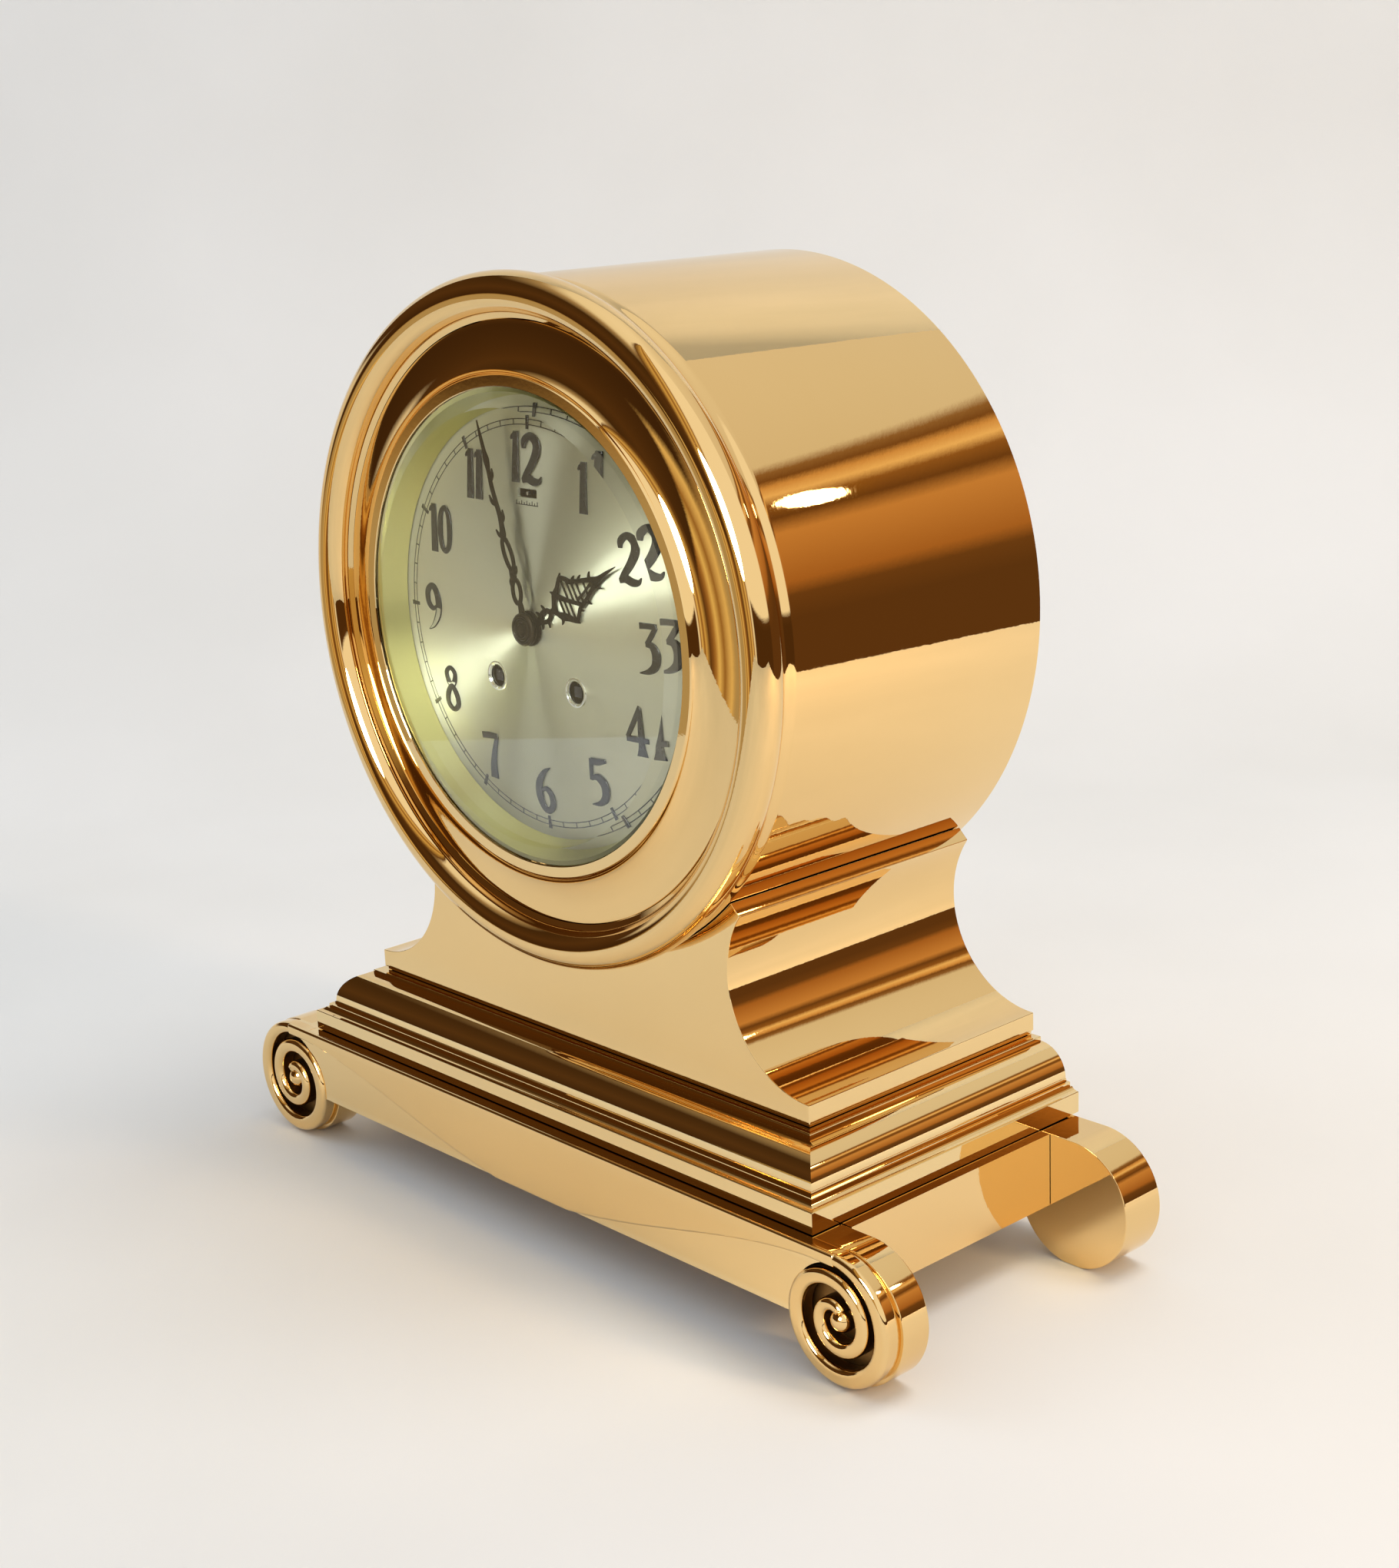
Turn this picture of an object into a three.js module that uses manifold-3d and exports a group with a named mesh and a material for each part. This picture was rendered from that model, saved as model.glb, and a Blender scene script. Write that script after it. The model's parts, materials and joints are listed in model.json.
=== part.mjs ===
// Ship's bell clock: a polished brass drum on a scrolled pedestal, with its dial and two-train movement.
// Millimetres. +Z is up, the dial faces -Y, and the origin is on the floor below the middle of the clock.
import * as THREE from 'three';
import { mergeVertices } from 'three/addons/utils/BufferGeometryUtils.js';
import Module from 'manifold-3d';

const wasm = await Module();
wasm.setup();

// Fits
const GAP = 0.3; // between pieces that seat on each other
const RUNNING_GAP = 0.35; // round a pivot or a sliding sleeve

// Overall
const OVERALL_DEPTH = 156.1;
const AXIS_HEIGHT = 244.8; // the drum's axis above the floor

// Underframe: two scroll plates and two side panels
const VOLUTE_RADIUS = 25.5;
const FOOT_FLAT = 8; // the narrow flat that each volute stands on
const VOLUTE_OFFSET = 165.4; // from the middle of the clock to a volute's centre
const PLATE_THICKNESS = 20.4;
const FRAME_DEPTH = 148.9;
const APRON_RISE = 21.6; // from the floor to the apron's lower edge
const PANEL_STEP = 4.8; // the side panels stand this far outside the fascia
const PANEL_THICKNESS = 7;
const PANEL_LUG = 14; // the inward flanges that take the screws
const BAND_RELIEF = 1.6; // the scroll band stands this far proud of the apron
const BAND_WIDTH = 4.7; // where the band runs into the volute
const BAND_START = 22; // half the length where the band fills the apron
const GROOVE_DEPTH = 3;
const GROOVE_WIDTH = 2.8;
const GROOVE_OUTER = 19.6; // the spiral groove's radius where it leaves the band
const GROOVE_INNER = 6.4;
const GROOVE_TURNS = 1.9;

// Base moulding, given as insets from the fascia
const FASCIA_HALF_WIDTH = 150;
const FASCIA_SETBACK = 6; // behind the front scroll plate
const MOULDING_DEPTH = 145.4;
const FASCIA_HEIGHT = 8.4;
const CYMA_INSET = 3.1;
const CYMA_RISE = 1.4;
const FILLET_INSET = 4.1;
const FILLET_RISE = 1.5;
const OVOLO_INSET = 6.3;
const OVOLO_RADIUS = 12.2;
const OVOLO_STEP = 1.0;
const RING_HEIGHT = 1.7;
const MOULDING_WALL = 32;
const MOULDING_ROOF = 7;

// Pedestal
const SLAB_INSET = 22.1; // from the fascia, at the front and both sides
const NECK_INSET = 1;
const NECK_HEIGHT = 1.3;
const SLAB_HEIGHT = 7.4;
const SCOTIA_SWEEP = 35.5; // degrees that each hollow turns past the upright
const CUSP_FACE = 6.1; // from each cusp in to the drum's saddle
const PEDESTAL_WALL = 9;
const PEDESTAL_CAVITY_HALF_WIDTH = 74;

// Drum
const DRUM_RADIUS = 128.3;
const DRUM_WALL = 5.3;
const DRUM_LENGTH = 139.6; // from the rear edge to the middle of the front bead
const BEAD_OUTER_RADIUS = 130.8;
const BEAD_SECTION_RADIUS = 7.6;
const NECK_DEPTH = 1.1;
const NECK_LENGTH = 5.2;
const FLANGE_INNER_RADIUS = 74;
const FLANGE_THICKNESS = 6;
const FLANGE_SETBACK = 9.0; // from the bead's middle back to the dial seat
const COVER_SEAT_RADIUS = 123.2;
const COVER_SEAT_DEPTH = 6.3;
const COVER_LEDGE_RADIUS = 116;
const COVER_LEDGE_DEPTH = 7;

// Bezel, glass and sight ring
const BEZEL_RADIUS = 113.3;
const BEZEL_SLEEVE = 7.0; // the threaded sleeve behind the bezel's rim
const BEZEL_RIM_LEAD = -1.1; // the rim's edge lies this far behind the bead's middle
const LIP_LEAD = 5.8; // the lip's face lies this far ahead of the bead's middle
const LIP_INNER_RADIUS = 89.6;
const LIP_OUTER_RADIUS = 94;
const LIP_THICKNESS = 1;
const COVE_RADIUS_AT_DIP = 96.5;
const COVE_DIP = 5.3;
const GLASS_RADIUS = 91.2;
const GLASS_THICKNESS = 4.5;
const GLASS_EDGE = 1.6;
const GLASS_BEVEL_WIDTH = 9;
const SIGHT_RING_REAR_RADIUS = 81.5;
const SIGHT_RING_FRONT_RADIUS = 87.2;

// Dial
const DIAL_RADIUS = 83;
const DIAL_THICKNESS = 1.4;
const DIAL_DOME = 4.3; // the slightly convex plate stands this far proud of its edge
const DIAL_CENTRE_HOLE = 4.2;
const WINDING_HOLE_RADIUS = 4.4;
const SLOT_HALF_WIDTH = 5.6;
const SLOT_HALF_HEIGHT = 1.7;

// Hands
const HAND_THICKNESS = 0.7;
const HOUR_HAND_LEAD = 0.7; // in front of the middle of the dial
const MINUTE_HAND_LEAD = 2.4;
const HOUR_HAND_LENGTH = 58;
const MINUTE_HAND_LENGTH = 79;
const HOUR_HAND_ANGLE = 60.5; // degrees clockwise from twelve
const MINUTE_HAND_ANGLE = 344;
const NUT_GAP = 0.1;
const NUT_RADIUS = 6.2;
const NUT_THICKNESS = 1.9;

// Back cover
const COVER_THICKNESS = 3.2;
const COVER_SCREW_CIRCLE = 119.6;
const SOUND_HOLE_COUNT = 8;
const SOUND_HOLE_RADIUS = 7;
const SOUND_HOLE_CIRCLE = 78;

// Movement frame
const FRONT_PLATE_RADIUS = 84;
const BACK_PLATE_RADIUS = 70;
const MOVEMENT_PLATE = 3;
const PLATE_SPACING = 40;
const PILLAR_CIRCLE = 62;
const PILLAR_RADIUS = 4;
const PILLAR_TENON = 2.4;
const PILLAR_ANGLES = [40, 145, 270];
const MOVEMENT_SCREW_CIRCLE = 79;
const MOVEMENT_SCREW_ANGLES = [90, 210, 330];

// Trains
const TOOTH_TIP = 0.6; // in modules, outside the pitch circle
const TOOTH_ROOT = 1.4; // in modules, inside the pitch circle
const WHEEL_THICKNESS = 2;
const ARBOR_RADIUS = 1.5;
const PINION_LEAVES = 6;
const WHEEL_TEETH = 36;
const BARREL_MODULE = 1.5;
const CENTRE_MODULE = 1;
const THIRD_MODULE = 0.86;
const FOURTH_MODULE = 0.8;
const ESCAPE_TEETH = 15;
const ESCAPE_RADIUS = 8;
const PIN_WHEEL_MODULE = 0.93;
const WARNING_TEETH = 30;
const WARNING_MODULE = 0.8;
const BARREL_RADIUS = 17.4;
const WINDING_OFFSET = 23; // of each winding arbor from the middle
const WINDING_DROP = 21.5; // of the winding arbors below the middle
const WINDING_ARBOR_RADIUS = 3;
const RATCHET_RADIUS = 8.5;
const RATCHET_TEETH = 16;
const CLICK_REACH = 13.5; // of each click's stud, outward from its winding arbor
const CLICK_RISE = 6.5;
const FOURTH_BEARING = -60; // degrees, seen from the escape wheel
const PIN_WHEEL_BEARING = 100; // degrees, seen from the strike barrel
const WARNING_BEARING = 75; // degrees, seen from the pin wheel
const FLY_BEARING = 120; // degrees, seen from the warning wheel
const FLY_HALF_WIDTH = 9;
const FLY_THICKNESS = 0.8;
const FLY_LENGTH = 10;
const HAMMER_PIN_COUNT = 6;
const HAMMER_PIN_CIRCLE = 11;
const END_SHAKE = 0.6; // from an arbor's end to the outside of its plate

// Motion work
const CANNON_TEETH = 8;
const MINUTE_WHEEL_TEETH = 24;
const MOTION_MODULE = 0.9375;
const MINUTE_PINION_TEETH = 8;
const HOUR_WHEEL_TEETH = 32;
const HOUR_MODULE = 0.75;
const CENTRE_ARBOR_RADIUS = 1.4;
const CANNON_PIPE_RADIUS = 2.3;
const HOUR_PIPE_RADIUS = 3.6;

// Balance and escapement
const BALANCE_RISE = 36; // above the middle of the dial
const BALANCE_RADIUS = 8.6;
const BALANCE_STAFF_RADIUS = 0.8;
const INDEX_LENGTH = 14;
const INDEX_WINDOW_HALF_WIDTH = 9;
const INDEX_WINDOW_HALF_HEIGHT = 4.5;
const PALLET_OFFSET = 9.8;
const PALLET_RISE = 1.5; // above the balance
const ESCAPE_OFFSET = 19;
const ESCAPE_RISE = 2; // above the balance
const COCK_OFFSET = 17;
const COCK_RISE = 11; // above the balance
const PALLET_ARBOR_RADIUS = 0.8;
const HAIRSPRING_TURNS = 3;
const HAIRSPRING_INNER = 2.4;
const HAIRSPRING_OUTER = 6.6;

// Bell and hammer
const BELL_RADIUS = 52;
const BELL_DEPTH = 28;
const BELL_WALL = 2.6;
const BELL_STAND_OFF = 15; // from the back plate to the bell's mouth
const BELL_POST_RADIUS = 3.5;
const BELL_RISE = 8; // above the middle of the dial
const HAMMER_HEAD_RADIUS = 4.5;
const HAMMER_HEAD_OFFSET = 4;
const HAMMER_OFFSET = 30;
const HAMMER_DROP = 44; // below the middle of the dial
const HAMMER_CLEARANCE = 0.5; // between the resting hammer and the bell
const HAMMER_STUD_LENGTH = 6;

// Fasteners
const BOLT_RADIUS = 3;
const BOLT_HEAD_RADIUS = 5.6;
const BOLT_HEAD = 4;
const SCREW_RADIUS = 1.6;
const SCREW_HEAD_RADIUS = 3;
const SCREW_HEAD = 1.8;

// Roundness of turned pieces
const DRUM_SIDES = 32;
const RING_SIDES = 24;
const SMALL_SIDES = 12;
const PIPE_SIDES = 12;
const PIVOT_SIDES = 6;
const PIN_SIDES = 4;
const BEARING_SIDES = 8;

// Planes and places worked out from the sizes above
const FRAME_FRONT = -OVERALL_DEPTH / 2;
const FRAME_REAR = FRAME_FRONT + FRAME_DEPTH;
const VOLUTE_HEIGHT = Math.sqrt(VOLUTE_RADIUS ** 2 - (FOOT_FLAT / 2) ** 2);
const FRAME_TOP = VOLUTE_HEIGHT + VOLUTE_RADIUS;
const MOULDING_BOTTOM = FRAME_TOP + GAP;
const PANEL_HALF_WIDTH = FASCIA_HALF_WIDTH + PANEL_STEP;
const FASCIA_FRONT = FRAME_FRONT + FASCIA_SETBACK;
const BASE_REAR = FASCIA_FRONT + MOULDING_DEPTH;
const FASCIA_TOP = MOULDING_BOTTOM + FASCIA_HEIGHT;
const FILLET_TOP = FASCIA_TOP + CYMA_RISE + FILLET_RISE;
const OVOLO_BASE = FILLET_TOP + OVOLO_STEP;
const OVOLO_TOP = OVOLO_BASE + OVOLO_RADIUS;
const MOULDING_TOP = OVOLO_TOP + RING_HEIGHT;
const SLAB_BOTTOM = MOULDING_TOP + GAP + NECK_HEIGHT;
const SLAB_TOP = SLAB_BOTTOM + SLAB_HEIGHT;
const SLAB_HALF_WIDTH = FASCIA_HALF_WIDTH - SLAB_INSET;
const SLAB_FRONT = FASCIA_FRONT + SLAB_INSET;
const DRUM_REAR = OVERALL_DEPTH / 2;
const BEAD_Y = DRUM_REAR - DRUM_LENGTH;
const DRUM_BORE = DRUM_RADIUS - DRUM_WALL;
const BEAD_CENTRE_RADIUS = BEAD_OUTER_RADIUS - BEAD_SECTION_RADIUS;
const BEZEL_BORE = BEZEL_RADIUS + GAP;
const FLANGE_FRONT = BEAD_Y + FLANGE_SETBACK;
const FLANGE_REAR = FLANGE_FRONT + FLANGE_THICKNESS;
const COVER_SEAT = DRUM_REAR - COVER_SEAT_DEPTH;
const DIAL_BACK_EDGE = FLANGE_FRONT - GAP;
const DIAL_EDGE = DIAL_BACK_EDGE - DIAL_THICKNESS;
const DIAL_CENTRE = DIAL_EDGE - DIAL_DOME;
const LIP_FRONT = BEAD_Y - LIP_LEAD;
const LIP_BACK = LIP_FRONT + LIP_THICKNESS;
const GLASS_EDGE_FRONT = LIP_BACK + GAP;
const GLASS_BACK = GLASS_EDGE_FRONT + GLASS_EDGE;
const GLASS_FRONT = GLASS_BACK - GLASS_THICKNESS;
const FRONT_PLATE_FACE = FLANGE_REAR + GAP;
const FRONT_PLATE_BACK = FRONT_PLATE_FACE + MOVEMENT_PLATE;
const BACK_PLATE_FACE = FRONT_PLATE_BACK + PLATE_SPACING;
const BACK_PLATE_BACK = BACK_PLATE_FACE + MOVEMENT_PLATE;
const HOUR_HAND_BACK = DIAL_CENTRE - HOUR_HAND_LEAD;
const MINUTE_HAND_BACK = DIAL_CENTRE - MINUTE_HAND_LEAD;
const MINUTE_HAND_FACE = MINUTE_HAND_BACK - HAND_THICKNESS;
const NUT_BACK = MINUTE_HAND_FACE - NUT_GAP;
const NUT_FACE = NUT_BACK - NUT_THICKNESS;

// Levels of the wheels, measured back from the front plate
const TIME_GREAT_LEVEL = 2;
const TIME_DRUM_LEVEL = 5;
const DRUM_END_LEVEL = 26.5;
const BALANCE_LEVEL = 8;
const PALLET_LEVEL = 13;
const WARNING_LEVEL = 18;
const THIRD_LEVEL = 22;
const FOURTH_LEVEL = 27;
const PIN_LEVEL = 28.5;
const CENTRE_LEVEL = 32;
const STRIKE_GREAT_LEVEL = 36;
const STRIKE_DRUM_LEVEL = 7;
const COCK_LEVEL = 16;
const FLY_LEVEL = 4;
const HAIRSPRING_LEVEL = 4.6;
// Levels of the motion work, measured forward from the front plate
const MINUTE_WHEEL_LEVEL = 1.8;
const HOUR_WHEEL_LEVEL = 4.6;
const RATCHET_LEVEL = 1.5;

const degrees = THREE.MathUtils.degToRad;

// A place in the dial's plane, measured from the drum's axis: x to the right, z up
function place(x, z) {
  return new THREE.Vector2(x, z);
}

// A place at an angle and distance from another place
function polarFrom(origin, angle, distance) {
  return place(origin.x + distance * Math.cos(angle), origin.y + distance * Math.sin(angle));
}

// The place at two given distances from two others, to the left of the way from the first to the second
function meetingPlace(first, firstDistance, second, secondDistance) {
  const span = second.clone().sub(first);
  const length = span.length();
  const along = (firstDistance ** 2 - secondDistance ** 2 + length ** 2) / (2 * length);
  const across = Math.sqrt(firstDistance ** 2 - along ** 2);
  const direction = span.divideScalar(length);
  return place(
    first.x + direction.x * along - direction.y * across,
    first.y + direction.y * along + direction.x * across,
  );
}

function bearing(from, to) {
  return Math.atan2(to.y - from.y, to.x - from.x);
}

// Wheel centres
const CENTRE = place(0, 0);
const TIME_ARBOR = place(WINDING_OFFSET, -WINDING_DROP);
const STRIKE_ARBOR = place(-WINDING_OFFSET, -WINDING_DROP);
const BALANCE = place(0, BALANCE_RISE);
const PALLET = place(PALLET_OFFSET, BALANCE_RISE + PALLET_RISE);
const ESCAPE = place(ESCAPE_OFFSET, BALANCE_RISE + ESCAPE_RISE);
const FOURTH = polarFrom(
  ESCAPE,
  degrees(FOURTH_BEARING),
  centreDistance(WHEEL_TEETH, PINION_LEAVES, FOURTH_MODULE),
);
const THIRD = meetingPlace(
  CENTRE,
  centreDistance(WHEEL_TEETH, PINION_LEAVES, CENTRE_MODULE),
  FOURTH,
  centreDistance(WHEEL_TEETH, PINION_LEAVES, THIRD_MODULE),
);
const STRIKE_PIN = polarFrom(
  STRIKE_ARBOR,
  degrees(PIN_WHEEL_BEARING),
  centreDistance(WHEEL_TEETH, PINION_LEAVES, BARREL_MODULE),
);
const WARNING = polarFrom(
  STRIKE_PIN,
  degrees(WARNING_BEARING),
  centreDistance(WHEEL_TEETH, PINION_LEAVES, PIN_WHEEL_MODULE),
);
const FLY = polarFrom(
  WARNING,
  degrees(FLY_BEARING),
  centreDistance(WARNING_TEETH, PINION_LEAVES, WARNING_MODULE),
);
const MINUTE_STUD = place(0, -centreDistance(CANNON_TEETH, MINUTE_WHEEL_TEETH, MOTION_MODULE));
const INDEX_TIP = place(0, BALANCE_RISE + INDEX_LENGTH);
const COCK_FOOT = place(-COCK_OFFSET, BALANCE_RISE + COCK_RISE);
const BELL_CENTRE = place(0, BELL_RISE);
const HAMMER_PIVOT = place(-HAMMER_OFFSET, -HAMMER_DROP);
const HAMMER_HEAD = place(
  -HAMMER_HEAD_OFFSET,
  BELL_RISE - (BELL_RADIUS + HAMMER_HEAD_RADIUS + HAMMER_CLEARANCE),
);

function centreDistance(teethA, teethB, module) {
  return (module * (teethA + teethB)) / 2;
}

// The angle of a follower's tooth that puts its gap opposite the driver's tooth
function meshPhase(driverPhase, driverTeeth, followerTeeth, angle) {
  const turned = (driverTeeth / followerTeeth) * (driverPhase - angle);
  return angle + Math.PI - turned - Math.PI / followerTeeth;
}

// A closed solid from a geometry, with its faces turned outward
function solid(geometry) {
  const bare = geometry.clone();
  bare.deleteAttribute('normal');
  bare.deleteAttribute('uv');
  const welded = mergeVertices(bare, 1e-4);
  const faces = [];
  const index = welded.index.array;
  for (let i = 0; i < index.length; i += 3) {
    const [a, b, c] = [index[i], index[i + 1], index[i + 2]];
    if (a !== b && b !== c && c !== a) faces.push(a, b, c);
  }
  const position = new Float32Array(welded.attributes.position.array);
  const inside = signedVolume(position, faces) < 0;
  const triVerts = new Uint32Array(inside ? faces.reverse() : faces);
  return new wasm.Manifold(new wasm.Mesh({ numProp: 3, vertProperties: position, triVerts }));
}

function signedVolume(position, faces) {
  const [a, b, c] = [new THREE.Vector3(), new THREE.Vector3(), new THREE.Vector3()];
  let volume = 0;
  for (let i = 0; i < faces.length; i += 3) {
    a.fromArray(position, 3 * faces[i]);
    b.fromArray(position, 3 * faces[i + 1]);
    c.fromArray(position, 3 * faces[i + 2]);
    volume += a.dot(b.cross(c)) / 6;
  }
  return volume;
}

function geometryOf(body) {
  const { vertProperties, triVerts } = body.getMesh();
  const geometry = new THREE.BufferGeometry();
  geometry.setAttribute('position', new THREE.BufferAttribute(new Float32Array(vertProperties), 3));
  geometry.setIndex(new THREE.BufferAttribute(new Uint32Array(triVerts), 1));
  geometry.computeVertexNormals();
  return geometry;
}

function union(bodies) {
  return bodies.reduce((whole, body) => whole.add(body));
}

function cut(body, tools) {
  return tools.reduce((rest, tool) => rest.subtract(tool), body);
}

// A box between two corners
function block(x0, x1, y0, y1, z0, z1) {
  const geometry = new THREE.BoxGeometry(x1 - x0, y1 - y0, z1 - z0);
  geometry.translate((x0 + x1) / 2, (y0 + y1) / 2, (z0 + z1) / 2);
  return solid(geometry);
}

// A shape drawn in X and Z, filled from one Y plane to another
function slice(shape, y0, y1, curveSegments = 6) {
  const geometry = new THREE.ExtrudeGeometry(shape, { depth: y1 - y0, bevelEnabled: false, curveSegments });
  geometry.rotateX(Math.PI / 2);
  geometry.translate(0, y1, 0);
  return solid(geometry);
}

// A shape drawn in Y and Z, filled from one X plane to another
function sliceAcross(shape, x0, x1, curveSegments = 6) {
  const geometry = new THREE.ExtrudeGeometry(shape, { depth: x1 - x0, bevelEnabled: false, curveSegments });
  const turn = new THREE.Matrix4().makeBasis(
    new THREE.Vector3(0, 1, 0),
    new THREE.Vector3(0, 0, 1),
    new THREE.Vector3(1, 0, 0),
  );
  geometry.applyMatrix4(turn);
  geometry.translate(x0, 0, 0);
  return solid(geometry);
}

// A piece turned about an axis along Y through a place on the dial, from points of radius and Y
function turned(points, sides, at = CENTRE) {
  const profile = points.map(([radius, y]) => new THREE.Vector2(radius, y));
  const geometry = new THREE.LatheGeometry(profile, sides);
  geometry.translate(at.x, 0, AXIS_HEIGHT + at.y);
  return solid(geometry);
}

// A rod along Y through a place on the dial
function rod(at, radius, y0, y1, sides = PIVOT_SIDES) {
  return turned([[0, y0], [radius, y0], [radius, y1], [0, y1]], sides, at);
}

// A rod along Z
function post(x, y, radius, z0, z1, sides = PIVOT_SIDES) {
  const geometry = new THREE.CylinderGeometry(radius, radius, z1 - z0, sides);
  geometry.rotateX(Math.PI / 2);
  geometry.translate(x, y, (z0 + z1) / 2);
  return solid(geometry);
}

// Points of radius and Y along a round section, from one angle to another
function arcPoints(radius, y, section, from, to, steps) {
  return Array.from({ length: steps + 1 }, (_, i) => {
    const angle = degrees(from + ((to - from) * i) / steps);
    return [radius + section * Math.cos(angle), y + section * Math.sin(angle)];
  });
}

function outline(points) {
  return new THREE.Shape(points.map(([x, y]) => new THREE.Vector2(x, y)));
}

// Points mirrored about the vertical middle, to close a shape drawn up its right side
function mirrored(points) {
  const left = points.map(([x, y]) => [-x, y]).reverse();
  return [...points, ...left];
}

const group = new THREE.Group();

const FINISH = {
  brass: { color: 0xd9a441, roughness: 0.08, metalness: 1 },
  satinBrass: { color: 0xb8a556, roughness: 0.45, metalness: 1 },
  silver: { color: 0xc4c7b4, roughness: 0.35, metalness: 1 },
  blackened: { color: 0x2a2018, roughness: 0.4, metalness: 0.7 },
  steel: { color: 0x9a9da0, roughness: 0.3, metalness: 1 },
  bellMetal: { color: 0xc08a3c, roughness: 0.2, metalness: 1 },
  glass: { color: 0xf4f7f4, roughness: 0.02, metalness: 0, transparent: true, opacity: 0.2 },
};

function add(name, body, finish) {
  const mesh = new THREE.Mesh(geometryOf(body), new THREE.MeshStandardMaterial(FINISH[finish]));
  mesh.name = name;
  group.add(mesh);
}

// Underframe

function scrollPlateShape() {
  const slope = Math.asin((VOLUTE_HEIGHT - APRON_RISE) / VOLUTE_RADIUS);
  const flat = Math.asin(FOOT_FLAT / 2 / VOLUTE_RADIUS);
  const down = -Math.PI / 2;
  const shape = new THREE.Shape();
  const turn = (side, from, to) => {
    shape.absarc(side * VOLUTE_OFFSET, VOLUTE_HEIGHT, VOLUTE_RADIUS, from, to, true);
  };
  shape.moveTo(-VOLUTE_OFFSET, FRAME_TOP);
  turn(1, Math.PI / 2, down + flat);
  turn(1, down - flat, slope - Math.PI);
  turn(-1, -slope, down + flat);
  turn(-1, down - flat, -1.5 * Math.PI);
  return shape;
}

// The hollow below the scroll band, from the middle of the apron to one volute
function apronHollow(side) {
  const bandFoot = FRAME_TOP - BAND_WIDTH;
  const reach = VOLUTE_OFFSET - BAND_START;
  const rise = bandFoot - APRON_RISE;
  const below = APRON_RISE - BAND_RELIEF;
  const bandEnd = VOLUTE_OFFSET - VOLUTE_RADIUS / 2;
  const shape = new THREE.Shape();
  shape.moveTo(side * BAND_START, below);
  shape.lineTo(side * BAND_START, APRON_RISE);
  shape.bezierCurveTo(
    side * (BAND_START + reach * 0.34),
    APRON_RISE + rise * 0.24,
    side * (BAND_START + reach * 0.62),
    APRON_RISE + rise * 0.9,
    side * bandEnd,
    bandFoot,
  );
  shape.lineTo(side * VOLUTE_OFFSET, bandFoot);
  shape.lineTo(side * VOLUTE_OFFSET, below);
  const hollow = slice(shape, FRAME_FRONT - 1, FRAME_FRONT + BAND_RELIEF, 8);
  const volute = new THREE.Shape();
  volute.absarc(side * VOLUTE_OFFSET, VOLUTE_HEIGHT, VOLUTE_RADIUS + GAP, 0, 2 * Math.PI);
  return hollow.subtract(slice(volute, FRAME_FRONT - 2, FRAME_FRONT + GROOVE_DEPTH, 16));
}

// The spiral groove of one volute, wound from the band inward
function voluteGroove(side) {
  const steps = 16;
  const start = degrees(140);
  const outer = [];
  const inner = [];
  for (let i = 0; i <= steps; i += 1) {
    const share = i / steps;
    const angle = start - share * GROOVE_TURNS * 2 * Math.PI;
    const radius = GROOVE_OUTER + (GROOVE_INNER - GROOVE_OUTER) * share;
    const half = (GROOVE_WIDTH / 2) * Math.min(1, 0.15 + 6 * share);
    const point = (r) => [
      side * (VOLUTE_OFFSET + r * Math.cos(angle)),
      VOLUTE_HEIGHT + r * Math.sin(angle),
    ];
    outer.push(point(radius + half));
    inner.push(point(radius - half));
  }
  return slice(outline([...outer, ...inner.reverse()]), FRAME_FRONT - 1, FRAME_FRONT + GROOVE_DEPTH);
}

function cornerScrewHole(side, y0, y1) {
  const at = place(side * cornerScrewX, cornerScrewZ - AXIS_HEIGHT);
  return rod(at, SCREW_RADIUS + GAP, y0, y1);
}

const PANEL_INNER = PANEL_HALF_WIDTH - PANEL_THICKNESS;
const cornerScrewX = PANEL_INNER - PANEL_LUG / 2;
const cornerScrewZ = APRON_RISE + (FRAME_TOP - APRON_RISE) * 0.4;
const cornerScrewDepth = 9;
const frontPlateBack = FRAME_FRONT + PLATE_THICKNESS;
const rearPlateFront = FRAME_REAR - PLATE_THICKNESS;

const SIDES = [['left', -1], ['right', 1]];

const frontHoleEnd = frontPlateBack - cornerScrewDepth - GAP;
const rearHoleEnd = rearPlateFront + cornerScrewDepth + GAP;

const frontPlate = cut(slice(scrollPlateShape(), FRAME_FRONT, frontPlateBack, 8), [
  ...SIDES.map(([, side]) => apronHollow(side)),
  ...SIDES.map(([, side]) => voluteGroove(side)),
  ...SIDES.map(([, side]) => cornerScrewHole(side, frontHoleEnd, frontPlateBack + 1)),
]);
add('front_scroll_plate', frontPlate, 'brass');

const rearPlate = cut(
  slice(scrollPlateShape(), rearPlateFront, FRAME_REAR, 7),
  SIDES.map(([, side]) => cornerScrewHole(side, rearPlateFront - 1, rearHoleEnd)),
);
add('rear_scroll_plate', rearPlate, 'brass');

const panelFront = frontPlateBack + GAP;
const panelRear = rearPlateFront - GAP;
const frameBoltX = PANEL_INNER - PANEL_LUG / 2;
const frameBoltTop = MOULDING_BOTTOM + 13;

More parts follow.
